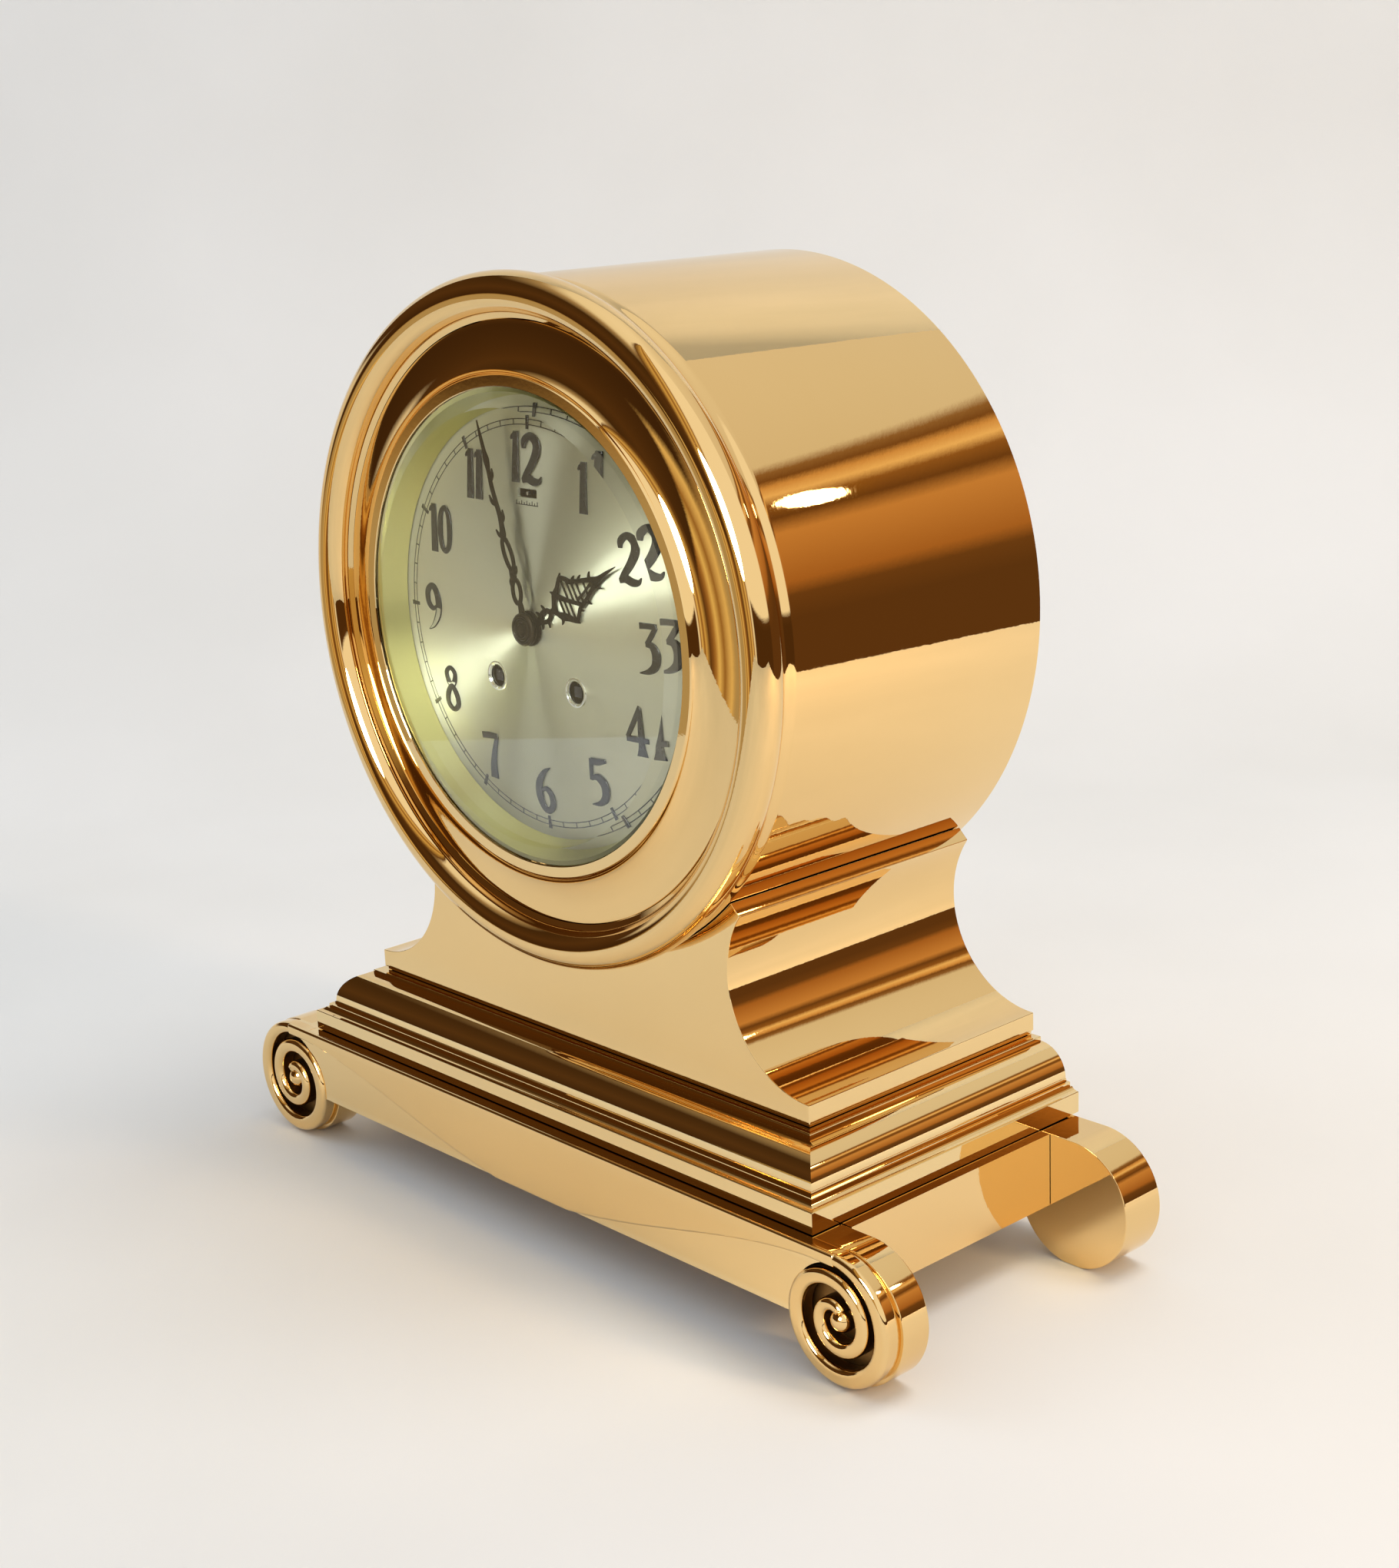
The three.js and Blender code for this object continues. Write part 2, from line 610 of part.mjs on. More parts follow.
// A side panel with an inward lug at each end and a shelf along its top
function sidePanel(side) {
  const low = APRON_RISE;
  const spanX = (a, b) => (side > 0 ? [a, b] : [-b, -a]);
  const lugX = spanX(PANEL_INNER - PANEL_LUG, PANEL_INNER + 1);
  const wall = block(...spanX(PANEL_INNER, PANEL_HALF_WIDTH), panelFront, panelRear, low, FRAME_TOP);
  const frontLug = block(...lugX, panelFront, panelFront + PANEL_THICKNESS, low, FRAME_TOP);
  const rearLug = block(...lugX, panelRear - PANEL_THICKNESS, panelRear, low, FRAME_TOP);
  const shelf = block(...lugX, panelFront, panelRear, FRAME_TOP - PANEL_THICKNESS, FRAME_TOP);
  return cut(union([wall, frontLug, rearLug, shelf]), [
    cornerScrewHole(side, panelFront - 1, panelFront + PANEL_THICKNESS + 1),
    cornerScrewHole(side, panelRear - PANEL_THICKNESS - 1, panelRear + 1),
    post(side * frameBoltX, 0, BOLT_RADIUS + GAP, FRAME_TOP - PANEL_THICKNESS - 1, FRAME_TOP + 1),
  ]);
}

// A cheese-headed screw along Y, its head's seat at one plane and its tip at another
function screwAlongY(at, seat, tip) {
  const way = Math.sign(tip - seat);
  const under = seat - way * GAP;
  const crown = under - way * SCREW_HEAD;
  return turned([
    [0, crown],
    [SCREW_HEAD_RADIUS, crown],
    [SCREW_HEAD_RADIUS, under],
    [SCREW_RADIUS, under],
    [SCREW_RADIUS, tip],
    [0, tip],
  ], PIVOT_SIDES, at);
}

// A bolt along Z with its head below
function boltUp(x, y, seat, tip) {
  const under = seat - GAP;
  const head = post(x, y, BOLT_HEAD_RADIUS, under - BOLT_HEAD, under, 6);
  return head.add(post(x, y, BOLT_RADIUS, under - 1, tip));
}

for (const [name, side] of SIDES) {
  add(`${name}_side_panel`, sidePanel(side), 'brass');
  const at = place(side * cornerScrewX, cornerScrewZ - AXIS_HEIGHT);
  const frontTip = frontPlateBack - cornerScrewDepth;
  const rearTip = rearPlateFront + cornerScrewDepth;
  add(`front_${name}_corner_screw`, screwAlongY(at, panelFront + PANEL_THICKNESS, frontTip), 'steel');
  add(`rear_${name}_corner_screw`, screwAlongY(at, panelRear - PANEL_THICKNESS, rearTip), 'steel');
  const frameBolt = boltUp(side * frameBoltX, 0, FRAME_TOP - PANEL_THICKNESS, frameBoltTop);
  add(`${name}_frame_bolt`, frameBolt, 'steel');
}

// Base moulding

// Inset from the fascia and height of each point up the moulding's profile
function mouldingProfile() {
  const ovolo = Array.from({ length: 7 }, (_, i) => {
    const angle = (i / 6) * (Math.PI / 2);
    const inset = OVOLO_INSET + OVOLO_RADIUS * (1 - Math.cos(angle));
    return [inset, OVOLO_BASE + OVOLO_RADIUS * Math.sin(angle)];
  });
  const ringInset = OVOLO_INSET + OVOLO_RADIUS;
  return [
    [0, MOULDING_BOTTOM],
    [0, FASCIA_TOP],
    [CYMA_INSET / 2, FASCIA_TOP + CYMA_RISE * 0.25],
    [CYMA_INSET, FASCIA_TOP + CYMA_RISE],
    [FILLET_INSET, FILLET_TOP],
    [OVOLO_INSET, FILLET_TOP + OVOLO_STEP / 2],
    ...ovolo,
    [ringInset, MOULDING_TOP],
  ];
}

const pedestalBoltX = (SLAB_HALF_WIDTH + PEDESTAL_CAVITY_HALF_WIDTH) / 2;
const pedestalBoltY = (SLAB_FRONT + BASE_REAR) / 2;
const pedestalBoltTip = SLAB_BOTTOM + 11;
const mouldingCeiling = MOULDING_TOP - MOULDING_ROOF;

function baseMoulding() {
  const profile = mouldingProfile();
  const acrossShape = outline(mirrored(profile.map(([inset, z]) => [FASCIA_HALF_WIDTH - inset, z])));
  const alongShape = outline([
    ...profile.map(([inset, z]) => [FASCIA_FRONT + inset, z]),
    [BASE_REAR, MOULDING_TOP],
    [BASE_REAR, MOULDING_BOTTOM],
  ]);
  const across = slice(acrossShape, FASCIA_FRONT - 1, BASE_REAR + 1);
  const along = sliceAcross(alongShape, -FASCIA_HALF_WIDTH - 1, FASCIA_HALF_WIDTH + 1);
  const cavityHalf = FASCIA_HALF_WIDTH - MOULDING_WALL;
  const cavityFront = FASCIA_FRONT + MOULDING_WALL;
  const cavityRear = BASE_REAR - MOULDING_WALL / 2;
  const hole = BOLT_RADIUS + GAP;
  const frameHole = (x) => post(x, 0, hole, MOULDING_BOTTOM - 1, frameBoltTop + GAP);
  const pedestalHole = (x) => post(x, pedestalBoltY, hole, mouldingCeiling - 1, MOULDING_TOP + 1);
  return cut(across.intersect(along), [
    block(-cavityHalf, cavityHalf, cavityFront, cavityRear, MOULDING_BOTTOM - 1, mouldingCeiling),
    ...SIDES.map(([, side]) => frameHole(side * frameBoltX)),
    ...SIDES.map(([, side]) => pedestalHole(side * pedestalBoltX)),
  ]);
}

add('base_moulding', baseMoulding(), 'brass');

// Pedestal

const pedestalBottom = MOULDING_TOP + GAP;
const saddleRadius = DRUM_RADIUS + GAP;
const saddleFloor = AXIS_HEIGHT - saddleRadius;
const drumBoltOffset = 32;
const drumBoltMiddle = (SLAB_FRONT + BASE_REAR) / 2;
const drumBoltPlaces = [drumBoltMiddle - drumBoltOffset, drumBoltMiddle + drumBoltOffset];

// The radius of the hollow whose cusp ends at its distance from the drum's axis
function scotiaRadius() {
  const [across, up] = [Math.cos(degrees(SCOTIA_SWEEP)), 1 + Math.sin(degrees(SCOTIA_SWEEP))];
  const drop = SLAB_TOP - AXIS_HEIGHT;
  const reach = saddleRadius + CUSP_FACE;
  const square = across ** 2 + up ** 2;
  const half = SLAB_HALF_WIDTH * across - drop * up;
  const rest = SLAB_HALF_WIDTH ** 2 + drop ** 2 - reach ** 2;
  return (half - Math.sqrt(half ** 2 - square * rest)) / square;
}

// Concave sides that end in a cusp, a short face in to the drum, and the drum's saddle
function pedestalShape() {
  const scotia = scotiaRadius();
  const scotiaCentre = [SLAB_HALF_WIDTH, SLAB_TOP + scotia];
  const cuspAngle = Math.PI - degrees(SCOTIA_SWEEP);
  const cuspZ = scotiaCentre[1] + scotia * Math.sin(cuspAngle);
  const cuspX = scotiaCentre[0] + scotia * Math.cos(cuspAngle);
  const saddleAngle = Math.atan2(cuspZ - AXIS_HEIGHT, cuspX);
  const neck = SLAB_HALF_WIDTH - NECK_INSET;
  const shape = new THREE.Shape();
  shape.moveTo(-neck, pedestalBottom);
  shape.lineTo(neck, pedestalBottom);
  shape.lineTo(neck, SLAB_BOTTOM);
  shape.lineTo(SLAB_HALF_WIDTH, SLAB_BOTTOM);
  shape.lineTo(SLAB_HALF_WIDTH, SLAB_TOP);
  shape.absarc(...scotiaCentre, scotia, -Math.PI / 2, cuspAngle - 2 * Math.PI, true);
  shape.absarc(0, AXIS_HEIGHT, saddleRadius, saddleAngle, -Math.PI - saddleAngle, true);
  shape.absarc(-scotiaCentre[0], scotiaCentre[1], scotia, Math.PI - cuspAngle, -Math.PI / 2, true);
  shape.lineTo(-SLAB_HALF_WIDTH, SLAB_BOTTOM);
  shape.lineTo(-neck, SLAB_BOTTOM);
  return shape;
}

function pedestal() {
  const body = slice(pedestalShape(), SLAB_FRONT, BASE_REAR, 11);
  const half = PEDESTAL_CAVITY_HALF_WIDTH;
  const cavityTop = saddleFloor - PEDESTAL_WALL;
  const [cavityFront, cavityRear] = [SLAB_FRONT + PEDESTAL_WALL, BASE_REAR - PEDESTAL_WALL];
  const hole = BOLT_RADIUS + GAP;
  const footHole = (x) => post(x, pedestalBoltY, hole, pedestalBottom - 1, pedestalBoltTip + GAP);
  return cut(body, [
    block(-half, half, cavityFront, cavityRear, pedestalBottom - 1, cavityTop),
    ...drumBoltPlaces.map((y) => post(0, y, hole, cavityTop - 1, saddleFloor + 2)),
    ...SIDES.map(([, side]) => footHole(side * pedestalBoltX)),
  ]);
}

add('pedestal', pedestal(), 'brass');
for (const [name, side] of SIDES) {
  const footBolt = boltUp(side * pedestalBoltX, pedestalBoltY, mouldingCeiling, pedestalBoltTip);
  add(`${name}_pedestal_bolt`, footBolt, 'steel');
}

// Drum

const drumBoltTip = AXIS_HEIGHT - DRUM_BORE - 0.6;

function drumCase() {
  const neckRadius = DRUM_RADIUS - NECK_DEPTH;
  const neckRise = Math.acos((neckRadius - BEAD_CENTRE_RADIUS) / BEAD_SECTION_RADIUS);
  const neckFront = BEAD_Y + BEAD_SECTION_RADIUS * Math.sin(neckRise);
  const beadStart = THREE.MathUtils.radToDeg(neckRise);
  const bead = arcPoints(BEAD_CENTRE_RADIUS, BEAD_Y, BEAD_SECTION_RADIUS, beadStart, -180, 6);
  const body = turned([
    [DRUM_RADIUS, DRUM_REAR],
    [DRUM_RADIUS, neckFront + NECK_LENGTH],
    [neckRadius, neckFront + NECK_LENGTH / 2],
    ...bead,
    [BEZEL_BORE, BEAD_Y - BEZEL_RIM_LEAD],
    [BEZEL_BORE, FLANGE_FRONT],
    [FLANGE_INNER_RADIUS, FLANGE_FRONT],
    [FLANGE_INNER_RADIUS, FLANGE_REAR],
    [DRUM_BORE, FLANGE_REAR],
    [DRUM_BORE, COVER_SEAT - COVER_LEDGE_DEPTH - (DRUM_BORE - COVER_LEDGE_RADIUS)],
    [COVER_LEDGE_RADIUS, COVER_SEAT - COVER_LEDGE_DEPTH],
    [COVER_LEDGE_RADIUS, COVER_SEAT],
    [COVER_SEAT_RADIUS, COVER_SEAT],
    [COVER_SEAT_RADIUS, DRUM_REAR],
    [DRUM_RADIUS, DRUM_REAR],
  ], DRUM_SIDES);
  const hole = SCREW_RADIUS + GAP;
  const plateHoleEnd = FLANGE_REAR - movementScrewDepth - GAP;
  const coverHoleEnd = COVER_SEAT - coverScrewDepth - GAP;
  const drumFloor = AXIS_HEIGHT - DRUM_BORE;
  return cut(body, [
    ...drumBoltPlaces.map((y) => post(0, y, BOLT_RADIUS + GAP, saddleFloor - 1, drumFloor + 3)),
    ...movementScrewPlaces.map((at) => rod(at, hole, plateHoleEnd, FLANGE_REAR + 1)),
    ...coverScrewPlaces.map((at) => rod(at, hole, coverHoleEnd, COVER_SEAT + 1)),
  ]);
}

// Places round the drum's axis, at one distance from it
function ringOfPlaces(angles, distance) {
  return angles.map((angle) => polarFrom(CENTRE, degrees(angle), distance));
}

const movementScrewDepth = 4;
const coverScrewDepth = 5;
const movementScrewPlaces = ringOfPlaces(MOVEMENT_SCREW_ANGLES, MOVEMENT_SCREW_CIRCLE);
const coverScrewPlaces = ringOfPlaces(MOVEMENT_SCREW_ANGLES, COVER_SCREW_CIRCLE);
add('drum_case', drumCase(), 'brass');
['front', 'rear'].forEach((name, i) => {
  add(`${name}_drum_bolt`, boltUp(0, drumBoltPlaces[i], saddleFloor - PEDESTAL_WALL, drumBoltTip), 'steel');
});

// Bezel, glass and sight ring

function bezel() {
  const rim = BEAD_Y - BEZEL_RIM_LEAD;
  const rear = rim + BEZEL_SLEEVE;
  const bore = GLASS_RADIUS + GAP;
  const cove = new THREE.QuadraticBezierCurve(
    new THREE.Vector2(LIP_OUTER_RADIUS + 0.3, LIP_FRONT + LIP_THICKNESS),
    new THREE.Vector2(COVE_RADIUS_AT_DIP, LIP_FRONT + LIP_THICKNESS + COVE_DIP),
    new THREE.Vector2(BEZEL_RADIUS - 0.8, rim - 0.4),
  );
  return turned([
    [LIP_INNER_RADIUS, LIP_FRONT],
    [LIP_OUTER_RADIUS, LIP_FRONT],
    ...cove.getPoints(4).map((point) => [point.x, point.y]),
    [BEZEL_RADIUS, rim],
    [BEZEL_RADIUS, rear],
    [bore, rear],
    [bore, LIP_BACK],
    [LIP_INNER_RADIUS, LIP_BACK - 0.3],
    [LIP_INNER_RADIUS, LIP_FRONT],
  ], DRUM_SIDES);
}

add('bezel', bezel(), 'brass');
add('glass', turned([
  [0, GLASS_FRONT],
  [GLASS_RADIUS - GLASS_BEVEL_WIDTH, GLASS_FRONT],
  [GLASS_RADIUS, GLASS_EDGE_FRONT],
  [GLASS_RADIUS, GLASS_BACK],
  [0, GLASS_BACK],
], DRUM_SIDES), 'glass');

const sightRingRear = DIAL_EDGE - GAP;
add('sight_ring', turned([
  [SIGHT_RING_FRONT_RADIUS, GLASS_BACK + GAP],
  [GLASS_RADIUS, GLASS_BACK + GAP],
  [DIAL_RADIUS + 2, sightRingRear],
  [SIGHT_RING_REAR_RADIUS, sightRingRear],
  [SIGHT_RING_FRONT_RADIUS, GLASS_BACK + GAP],
], DRUM_SIDES), 'satinBrass');

// Dial

// The dial's front face at a radius: a shallow round crown
function dialFace(radius) {
  return DIAL_CENTRE + DIAL_DOME * (radius / DIAL_RADIUS) ** 2;
}

function slotShape(halfWidth, halfHeight, z) {
  return outline([
    [-halfWidth, z - halfHeight],
    [halfWidth, z - halfHeight],
    [halfWidth, z + halfHeight],
    [-halfWidth, z + halfHeight],
  ]);
}

function dial() {
  const radii = [0, 0.55, 1].map((share) => share * DIAL_RADIUS);
  const face = radii.map((radius) => [radius, dialFace(radius)]);
  const back = radii.map((radius) => [radius, dialFace(radius) + DIAL_THICKNESS]).reverse();
  const plate = turned([...face, ...back], RING_SIDES);
  const [y0, y1] = [DIAL_CENTRE - 1, DIAL_BACK_EDGE + 1];
  return cut(plate, [
    rod(CENTRE, DIAL_CENTRE_HOLE, y0, y1, PIPE_SIDES),
    rod(TIME_ARBOR, WINDING_HOLE_RADIUS, y0, y1, PIPE_SIDES),
    rod(STRIKE_ARBOR, WINDING_HOLE_RADIUS, y0, y1, PIPE_SIDES),
    slice(slotShape(SLOT_HALF_WIDTH, SLOT_HALF_HEIGHT, AXIS_HEIGHT + INDEX_TIP.y), y0, y1),
  ]);
}

add('dial', dial(), 'silver');

// Hands

// A hand drawn pointing to twelve from half widths at distances along it, then turned to its hour
function hand(knots, holes, eye, angle, back) {
  const side = new THREE.SplineCurve(knots.map(([along, half]) => new THREE.Vector2(half, along)));
  const right = side.getPoints(knots.length + 2).map((point) => [Math.max(point.x, 0.25), point.y]);
  const shape = outline(mirrored(right));
  const blade = slice(shape, back - HAND_THICKNESS, back);
  const floor = place(0, -AXIS_HEIGHT);
  const boss = rod(floor, eye + 1.9, back - HAND_THICKNESS, back, PIPE_SIDES);
  const openings = holes.map(([x, along, width, length]) => {
    const hole = new THREE.Shape().absellipse(x, along, width, length, 0, 2 * Math.PI);
    return slice(hole, back - HAND_THICKNESS - 1, back + 1, 3);
  });
  const bore = rod(floor, eye, back - HAND_THICKNESS - 1, back + 1, PIPE_SIDES);
  const whole = cut(blade.add(boss), [...openings, bore]);
  return whole.rotate([0, angle, 0]).translate([0, 0, AXIS_HEIGHT]);
}

const hourHandEye = HOUR_PIPE_RADIUS + RUNNING_GAP / 2;
const hourKnots = [
  [1, 3], [5, 2.2], [8.5, 2.9], [12, 1.4], [15, 3], [17, 8.6], [20, 6.4], [24, 8.8], [27, 7.2], [30, 8.9],
  [32.5, 4.2], [35, 3.6], [38, 5.2], [41, 2], [46, 1.5], [52, 0.8], [HOUR_HAND_LENGTH, 0.3],
];
const hourHoles = [
  [0, 8.6, 1.2, 1.9], [-3.4, 19.6, 1.7, 2.2], [3.4, 19.6, 1.7, 2.2], [0, 24.2, 1.6, 2.4],
  [-5, 26.2, 1.5, 2], [5, 26.2, 1.5, 2], [0, 30.4, 1.5, 2],
];
const hourHand = hand(hourKnots, hourHoles, hourHandEye, HOUR_HAND_ANGLE, HOUR_HAND_BACK);
add('hour_hand', hourHand, 'blackened');

const minuteHandEye = CANNON_PIPE_RADIUS + RUNNING_GAP / 2;
const minuteKnots = [
  [1, 2.4], [6, 1.8], [10, 2.8], [15, 3.2], [20, 1.6], [24, 2.9], [29, 3.1], [34, 1.4], [37, 2.2],
  [42, 1.2], [52, 0.9], [58, 1.0], [61, 2.1], [64, 0.9], [70, 0.5], [MINUTE_HAND_LENGTH, 0.25],
];
const minuteHoles = [[0, 12.6, 1.4, 4.2], [0, 26.8, 1.4, 4.2]];
const minuteHand = hand(minuteKnots, minuteHoles, minuteHandEye, MINUTE_HAND_ANGLE, MINUTE_HAND_BACK);
add('minute_hand', minuteHand, 'blackened');

const nutBore = CENTRE_ARBOR_RADIUS + 0.15;
add('hand_nut', turned([
  [nutBore, NUT_BACK],
  [NUT_RADIUS, NUT_BACK],
  [NUT_RADIUS, NUT_FACE + 0.5],
  [NUT_RADIUS - 0.7, NUT_FACE],
  [nutBore, NUT_FACE],
  [nutBore, NUT_BACK],
], SMALL_SIDES), 'blackened');

// Back cover

const coverFront = COVER_SEAT + GAP;
const coverBack = coverFront + COVER_THICKNESS;

function backCover() {
  const plate = rod(CENTRE, COVER_SEAT_RADIUS - GAP, coverFront, coverBack, DRUM_SIDES);
  const [y0, y1] = [coverFront - 1, coverBack + 1];
  const soundHoles = Array.from({ length: SOUND_HOLE_COUNT }, (_, i) => {
    const at = polarFrom(CENTRE, (i / SOUND_HOLE_COUNT) * 2 * Math.PI, SOUND_HOLE_CIRCLE);
    return rod(at, SOUND_HOLE_RADIUS, y0, y1);
  });
  const screwHoles = coverScrewPlaces.map((at) => rod(at, SCREW_RADIUS + GAP, y0, y1));
  return cut(plate, [...soundHoles, ...screwHoles]);
}

add('back_cover', backCover(), 'brass');
coverScrewPlaces.forEach((at, i) => {
  add(`back_cover_screw_${i + 1}`, screwAlongY(at, coverBack, COVER_SEAT - coverScrewDepth), 'steel');
});

// Movement frame

const pivotHole = ARBOR_RADIUS + RUNNING_GAP;
const palletPivotHole = PALLET_ARBOR_RADIUS + RUNNING_GAP;
const windingHole = WINDING_ARBOR_RADIUS + RUNNING_GAP;
const wheelArbors = [THIRD, FOURTH, ESCAPE, STRIKE_PIN, WARNING, FLY];
const pillarPlaces = ringOfPlaces(PILLAR_ANGLES, PILLAR_CIRCLE);
const studRadius = 1.2;
const indexBossRadius = 2;
const minuteStudTip = FRONT_PLATE_FACE - HOUR_WHEEL_LEVEL - WHEEL_THICKNESS - 0.4;
const clickStudTip = FRONT_PLATE_FACE - RATCHET_LEVEL - WHEEL_THICKNESS;

function clickPlace(side) {
  return place(side * (WINDING_OFFSET + CLICK_REACH), CLICK_RISE - WINDING_DROP);
}

// Holes along Y through one movement plate
function platePierced(radius, face, back, at, sides = PIVOT_SIDES) {
  return rod(at, radius, face - 1, back + 1, sides);
}

function movementPlate(radius, face, back, centreHole) {
  const through = (hole, at, sides) => platePierced(hole, face, back, at, sides);
  return cut(rod(CENTRE, radius, face, back, RING_SIDES), [
    through(centreHole, CENTRE),
    through(palletPivotHole, PALLET),
    through(windingHole, TIME_ARBOR, BEARING_SIDES),
    through(windingHole, STRIKE_ARBOR, BEARING_SIDES),
    ...wheelArbors.map((at) => through(pivotHole, at)),
    ...pillarPlaces.map((at) => through(PILLAR_TENON + GAP, at)),
  ]);
}

function frontMovementPlate() {
  const [face, back] = [FRONT_PLATE_FACE, FRONT_PLATE_BACK];
  const windowZ = AXIS_HEIGHT + INDEX_TIP.y;
  const window = slotShape(INDEX_WINDOW_HALF_WIDTH, INDEX_WINDOW_HALF_HEIGHT, windowZ);
  const plate = cut(movementPlate(FRONT_PLATE_RADIUS, face, back, pivotHole), [
    slice(window, face - 1, back + 1),
    ...movementScrewPlaces.map((at) => platePierced(SCREW_RADIUS + GAP, face, back, at)),
  ]);
  const boss = rod(BALANCE, indexBossRadius, face + 1, back + 2, BEARING_SIDES);
  const studs = [
    rod(MINUTE_STUD, studRadius, minuteStudTip, face + 1),
    rod(clickPlace(1), studRadius, clickStudTip, face + 1),
    rod(clickPlace(-1), studRadius, clickStudTip, face + 1),
  ];
  const jewel = rod(BALANCE, BALANCE_STAFF_RADIUS + RUNNING_GAP, back - 2, back + 3);
  return union([plate, boss, ...studs]).subtract(jewel);
}

const bellTenon = BELL_POST_RADIUS - 1;
const hammerStudTip = BACK_PLATE_BACK + HAMMER_STUD_LENGTH;

function backMovementPlate() {
  const [face, back] = [BACK_PLATE_FACE, BACK_PLATE_BACK];
  const plate = movementPlate(BACK_PLATE_RADIUS, face, back, pivotHole);
  const stud = rod(HAMMER_PIVOT, studRadius, back - 1, hammerStudTip);
  return plate.add(stud).subtract(platePierced(bellTenon + GAP, face, back, BELL_CENTRE, BEARING_SIDES));
}

add('front_movement_plate', frontMovementPlate(), 'brass');
add('back_movement_plate', backMovementPlate(), 'brass');
pillarPlaces.forEach((at, i) => {
  const shoulder = [FRONT_PLATE_BACK + GAP, BACK_PLATE_FACE - GAP];
  const pillar = union([
    rod(at, PILLAR_RADIUS, ...shoulder),
    rod(at, PILLAR_TENON, FRONT_PLATE_FACE, BACK_PLATE_BACK),
  ]);
  add(`pillar_${i + 1}`, pillar, 'brass');
});
movementScrewPlaces.forEach((at, i) => {
  const screw = screwAlongY(at, FRONT_PLATE_BACK, FLANGE_REAR - movementScrewDepth);
  add(`movement_screw_${i + 1}`, screw, 'steel');
});

// Wheels

// A toothed outline with pointed teeth, one of them at the given angle
function toothed(teeth, module, phase) {
  const pitch = (teeth * module) / 2;
  const [tip, root] = [pitch + TOOTH_TIP * module, pitch - TOOTH_ROOT * module];
  return outline(Array.from({ length: 2 * teeth }, (_, i) => {
    const angle = phase + (i * Math.PI) / teeth;
    const radius = i % 2 === 0 ? tip : root;
    return [radius * Math.cos(angle), radius * Math.sin(angle)];
  }));
}

// A toothed disc about a place, between two Y planes
function gear(at, teeth, module, phase, y0, y1) {
  return slice(toothed(teeth, module, phase), y0, y1).translate([at.x, 0, AXIS_HEIGHT + at.y]);
}

// The openings between a wheel's arms
function crossings(at, arms, inner, outer, y0, y1) {
  const half = Math.PI / arms - 0.16;
  return Array.from({ length: arms }, (_, i) => {
    const middle = (i * 2 * Math.PI) / arms;
    const corner = (radius, share) => {
      const angle = middle + share * half;
      return [radius * Math.cos(angle), radius * Math.sin(angle)];
    };
    const rim = [-1, 0, 1].map((share) => corner(outer, share));
    const shape = outline([...rim, corner(inner, 0.6), corner(inner, -0.6)]);
    return slice(shape, y0 - 1, y1 + 1).translate([at.x, 0, AXIS_HEIGHT + at.y]);
  });
}

function wheel(at, teeth, module, phase, level, arms) {
  const y0 = FRONT_PLATE_BACK + level;
  const y1 = y0 + WHEEL_THICKNESS;
  const rim = (teeth * module) / 2 - TOOTH_ROOT * module - 1.6;
  const disc = gear(at, teeth, module, phase, y0, y1);
  return arms ? cut(disc, crossings(at, arms, rim * 0.42, rim, y0, y1)) : disc;
}

function pinion(at, leaves, module, phase, level, length = WHEEL_THICKNESS + 1.6) {
  const middle = FRONT_PLATE_BACK + level + WHEEL_THICKNESS / 2;
  return gear(at, leaves, module, phase, middle - length / 2, middle + length / 2);
}

// An arbor that runs in both plates
function arbor(at, radius = ARBOR_RADIUS) {
  return rod(at, radius, FRONT_PLATE_FACE + END_SHAKE, BACK_PLATE_BACK - END_SHAKE);
}

const rackPhase = 0;
const centrePinionPhase = meshPhase(rackPhase, WHEEL_TEETH, PINION_LEAVES, bearing(TIME_ARBOR, CENTRE));
const thirdPinionPhase = meshPhase(rackPhase, WHEEL_TEETH, PINION_LEAVES, bearing(CENTRE, THIRD));
const fourthPinionPhase = meshPhase(rackPhase, WHEEL_TEETH, PINION_LEAVES, bearing(THIRD, FOURTH));
const escapePinionPhase = meshPhase(rackPhase, WHEEL_TEETH, PINION_LEAVES, bearing(FOURTH, ESCAPE));
const pinPinionPhase = meshPhase(rackPhase, WHEEL_TEETH, PINION_LEAVES, bearing(STRIKE_ARBOR, STRIKE_PIN));
const warningPinionPhase = meshPhase(rackPhase, WHEEL_TEETH, PINION_LEAVES, bearing(STRIKE_PIN, WARNING));
const flyPinionPhase = meshPhase(rackPhase, WARNING_TEETH, PINION_LEAVES, bearing(WARNING, FLY));

// A spring barrel with its great wheel, bored for the winding arbor
function barrel(at, greatLevel, drumLevel) {
  const level = (depth) => FRONT_PLATE_BACK + depth;
  const hubFront = level(Math.min(greatLevel, drumLevel));
  const hubBack = level(Math.max(greatLevel + WHEEL_THICKNESS, DRUM_END_LEVEL));
  const whole = union([
    rod(at, BARREL_RADIUS, level(drumLevel), level(DRUM_END_LEVEL), SMALL_SIDES),
    rod(at, BARREL_RADIUS / 2, hubFront, hubBack, BEARING_SIDES),
    wheel(at, WHEEL_TEETH, BARREL_MODULE, rackPhase, greatLevel, 0),
  ]);
  return whole.subtract(rod(at, windingHole, FRONT_PLATE_BACK, BACK_PLATE_FACE, BEARING_SIDES));
}

add('time_barrel', barrel(TIME_ARBOR, TIME_GREAT_LEVEL, TIME_DRUM_LEVEL), 'brass');
add('strike_barrel', barrel(STRIKE_ARBOR, STRIKE_GREAT_LEVEL, STRIKE_DRUM_LEVEL), 'brass');

const windingSquareTip = dialFace(WINDING_OFFSET) + DIAL_THICKNESS;
const squareHalf = WINDING_ARBOR_RADIUS * 0.68;

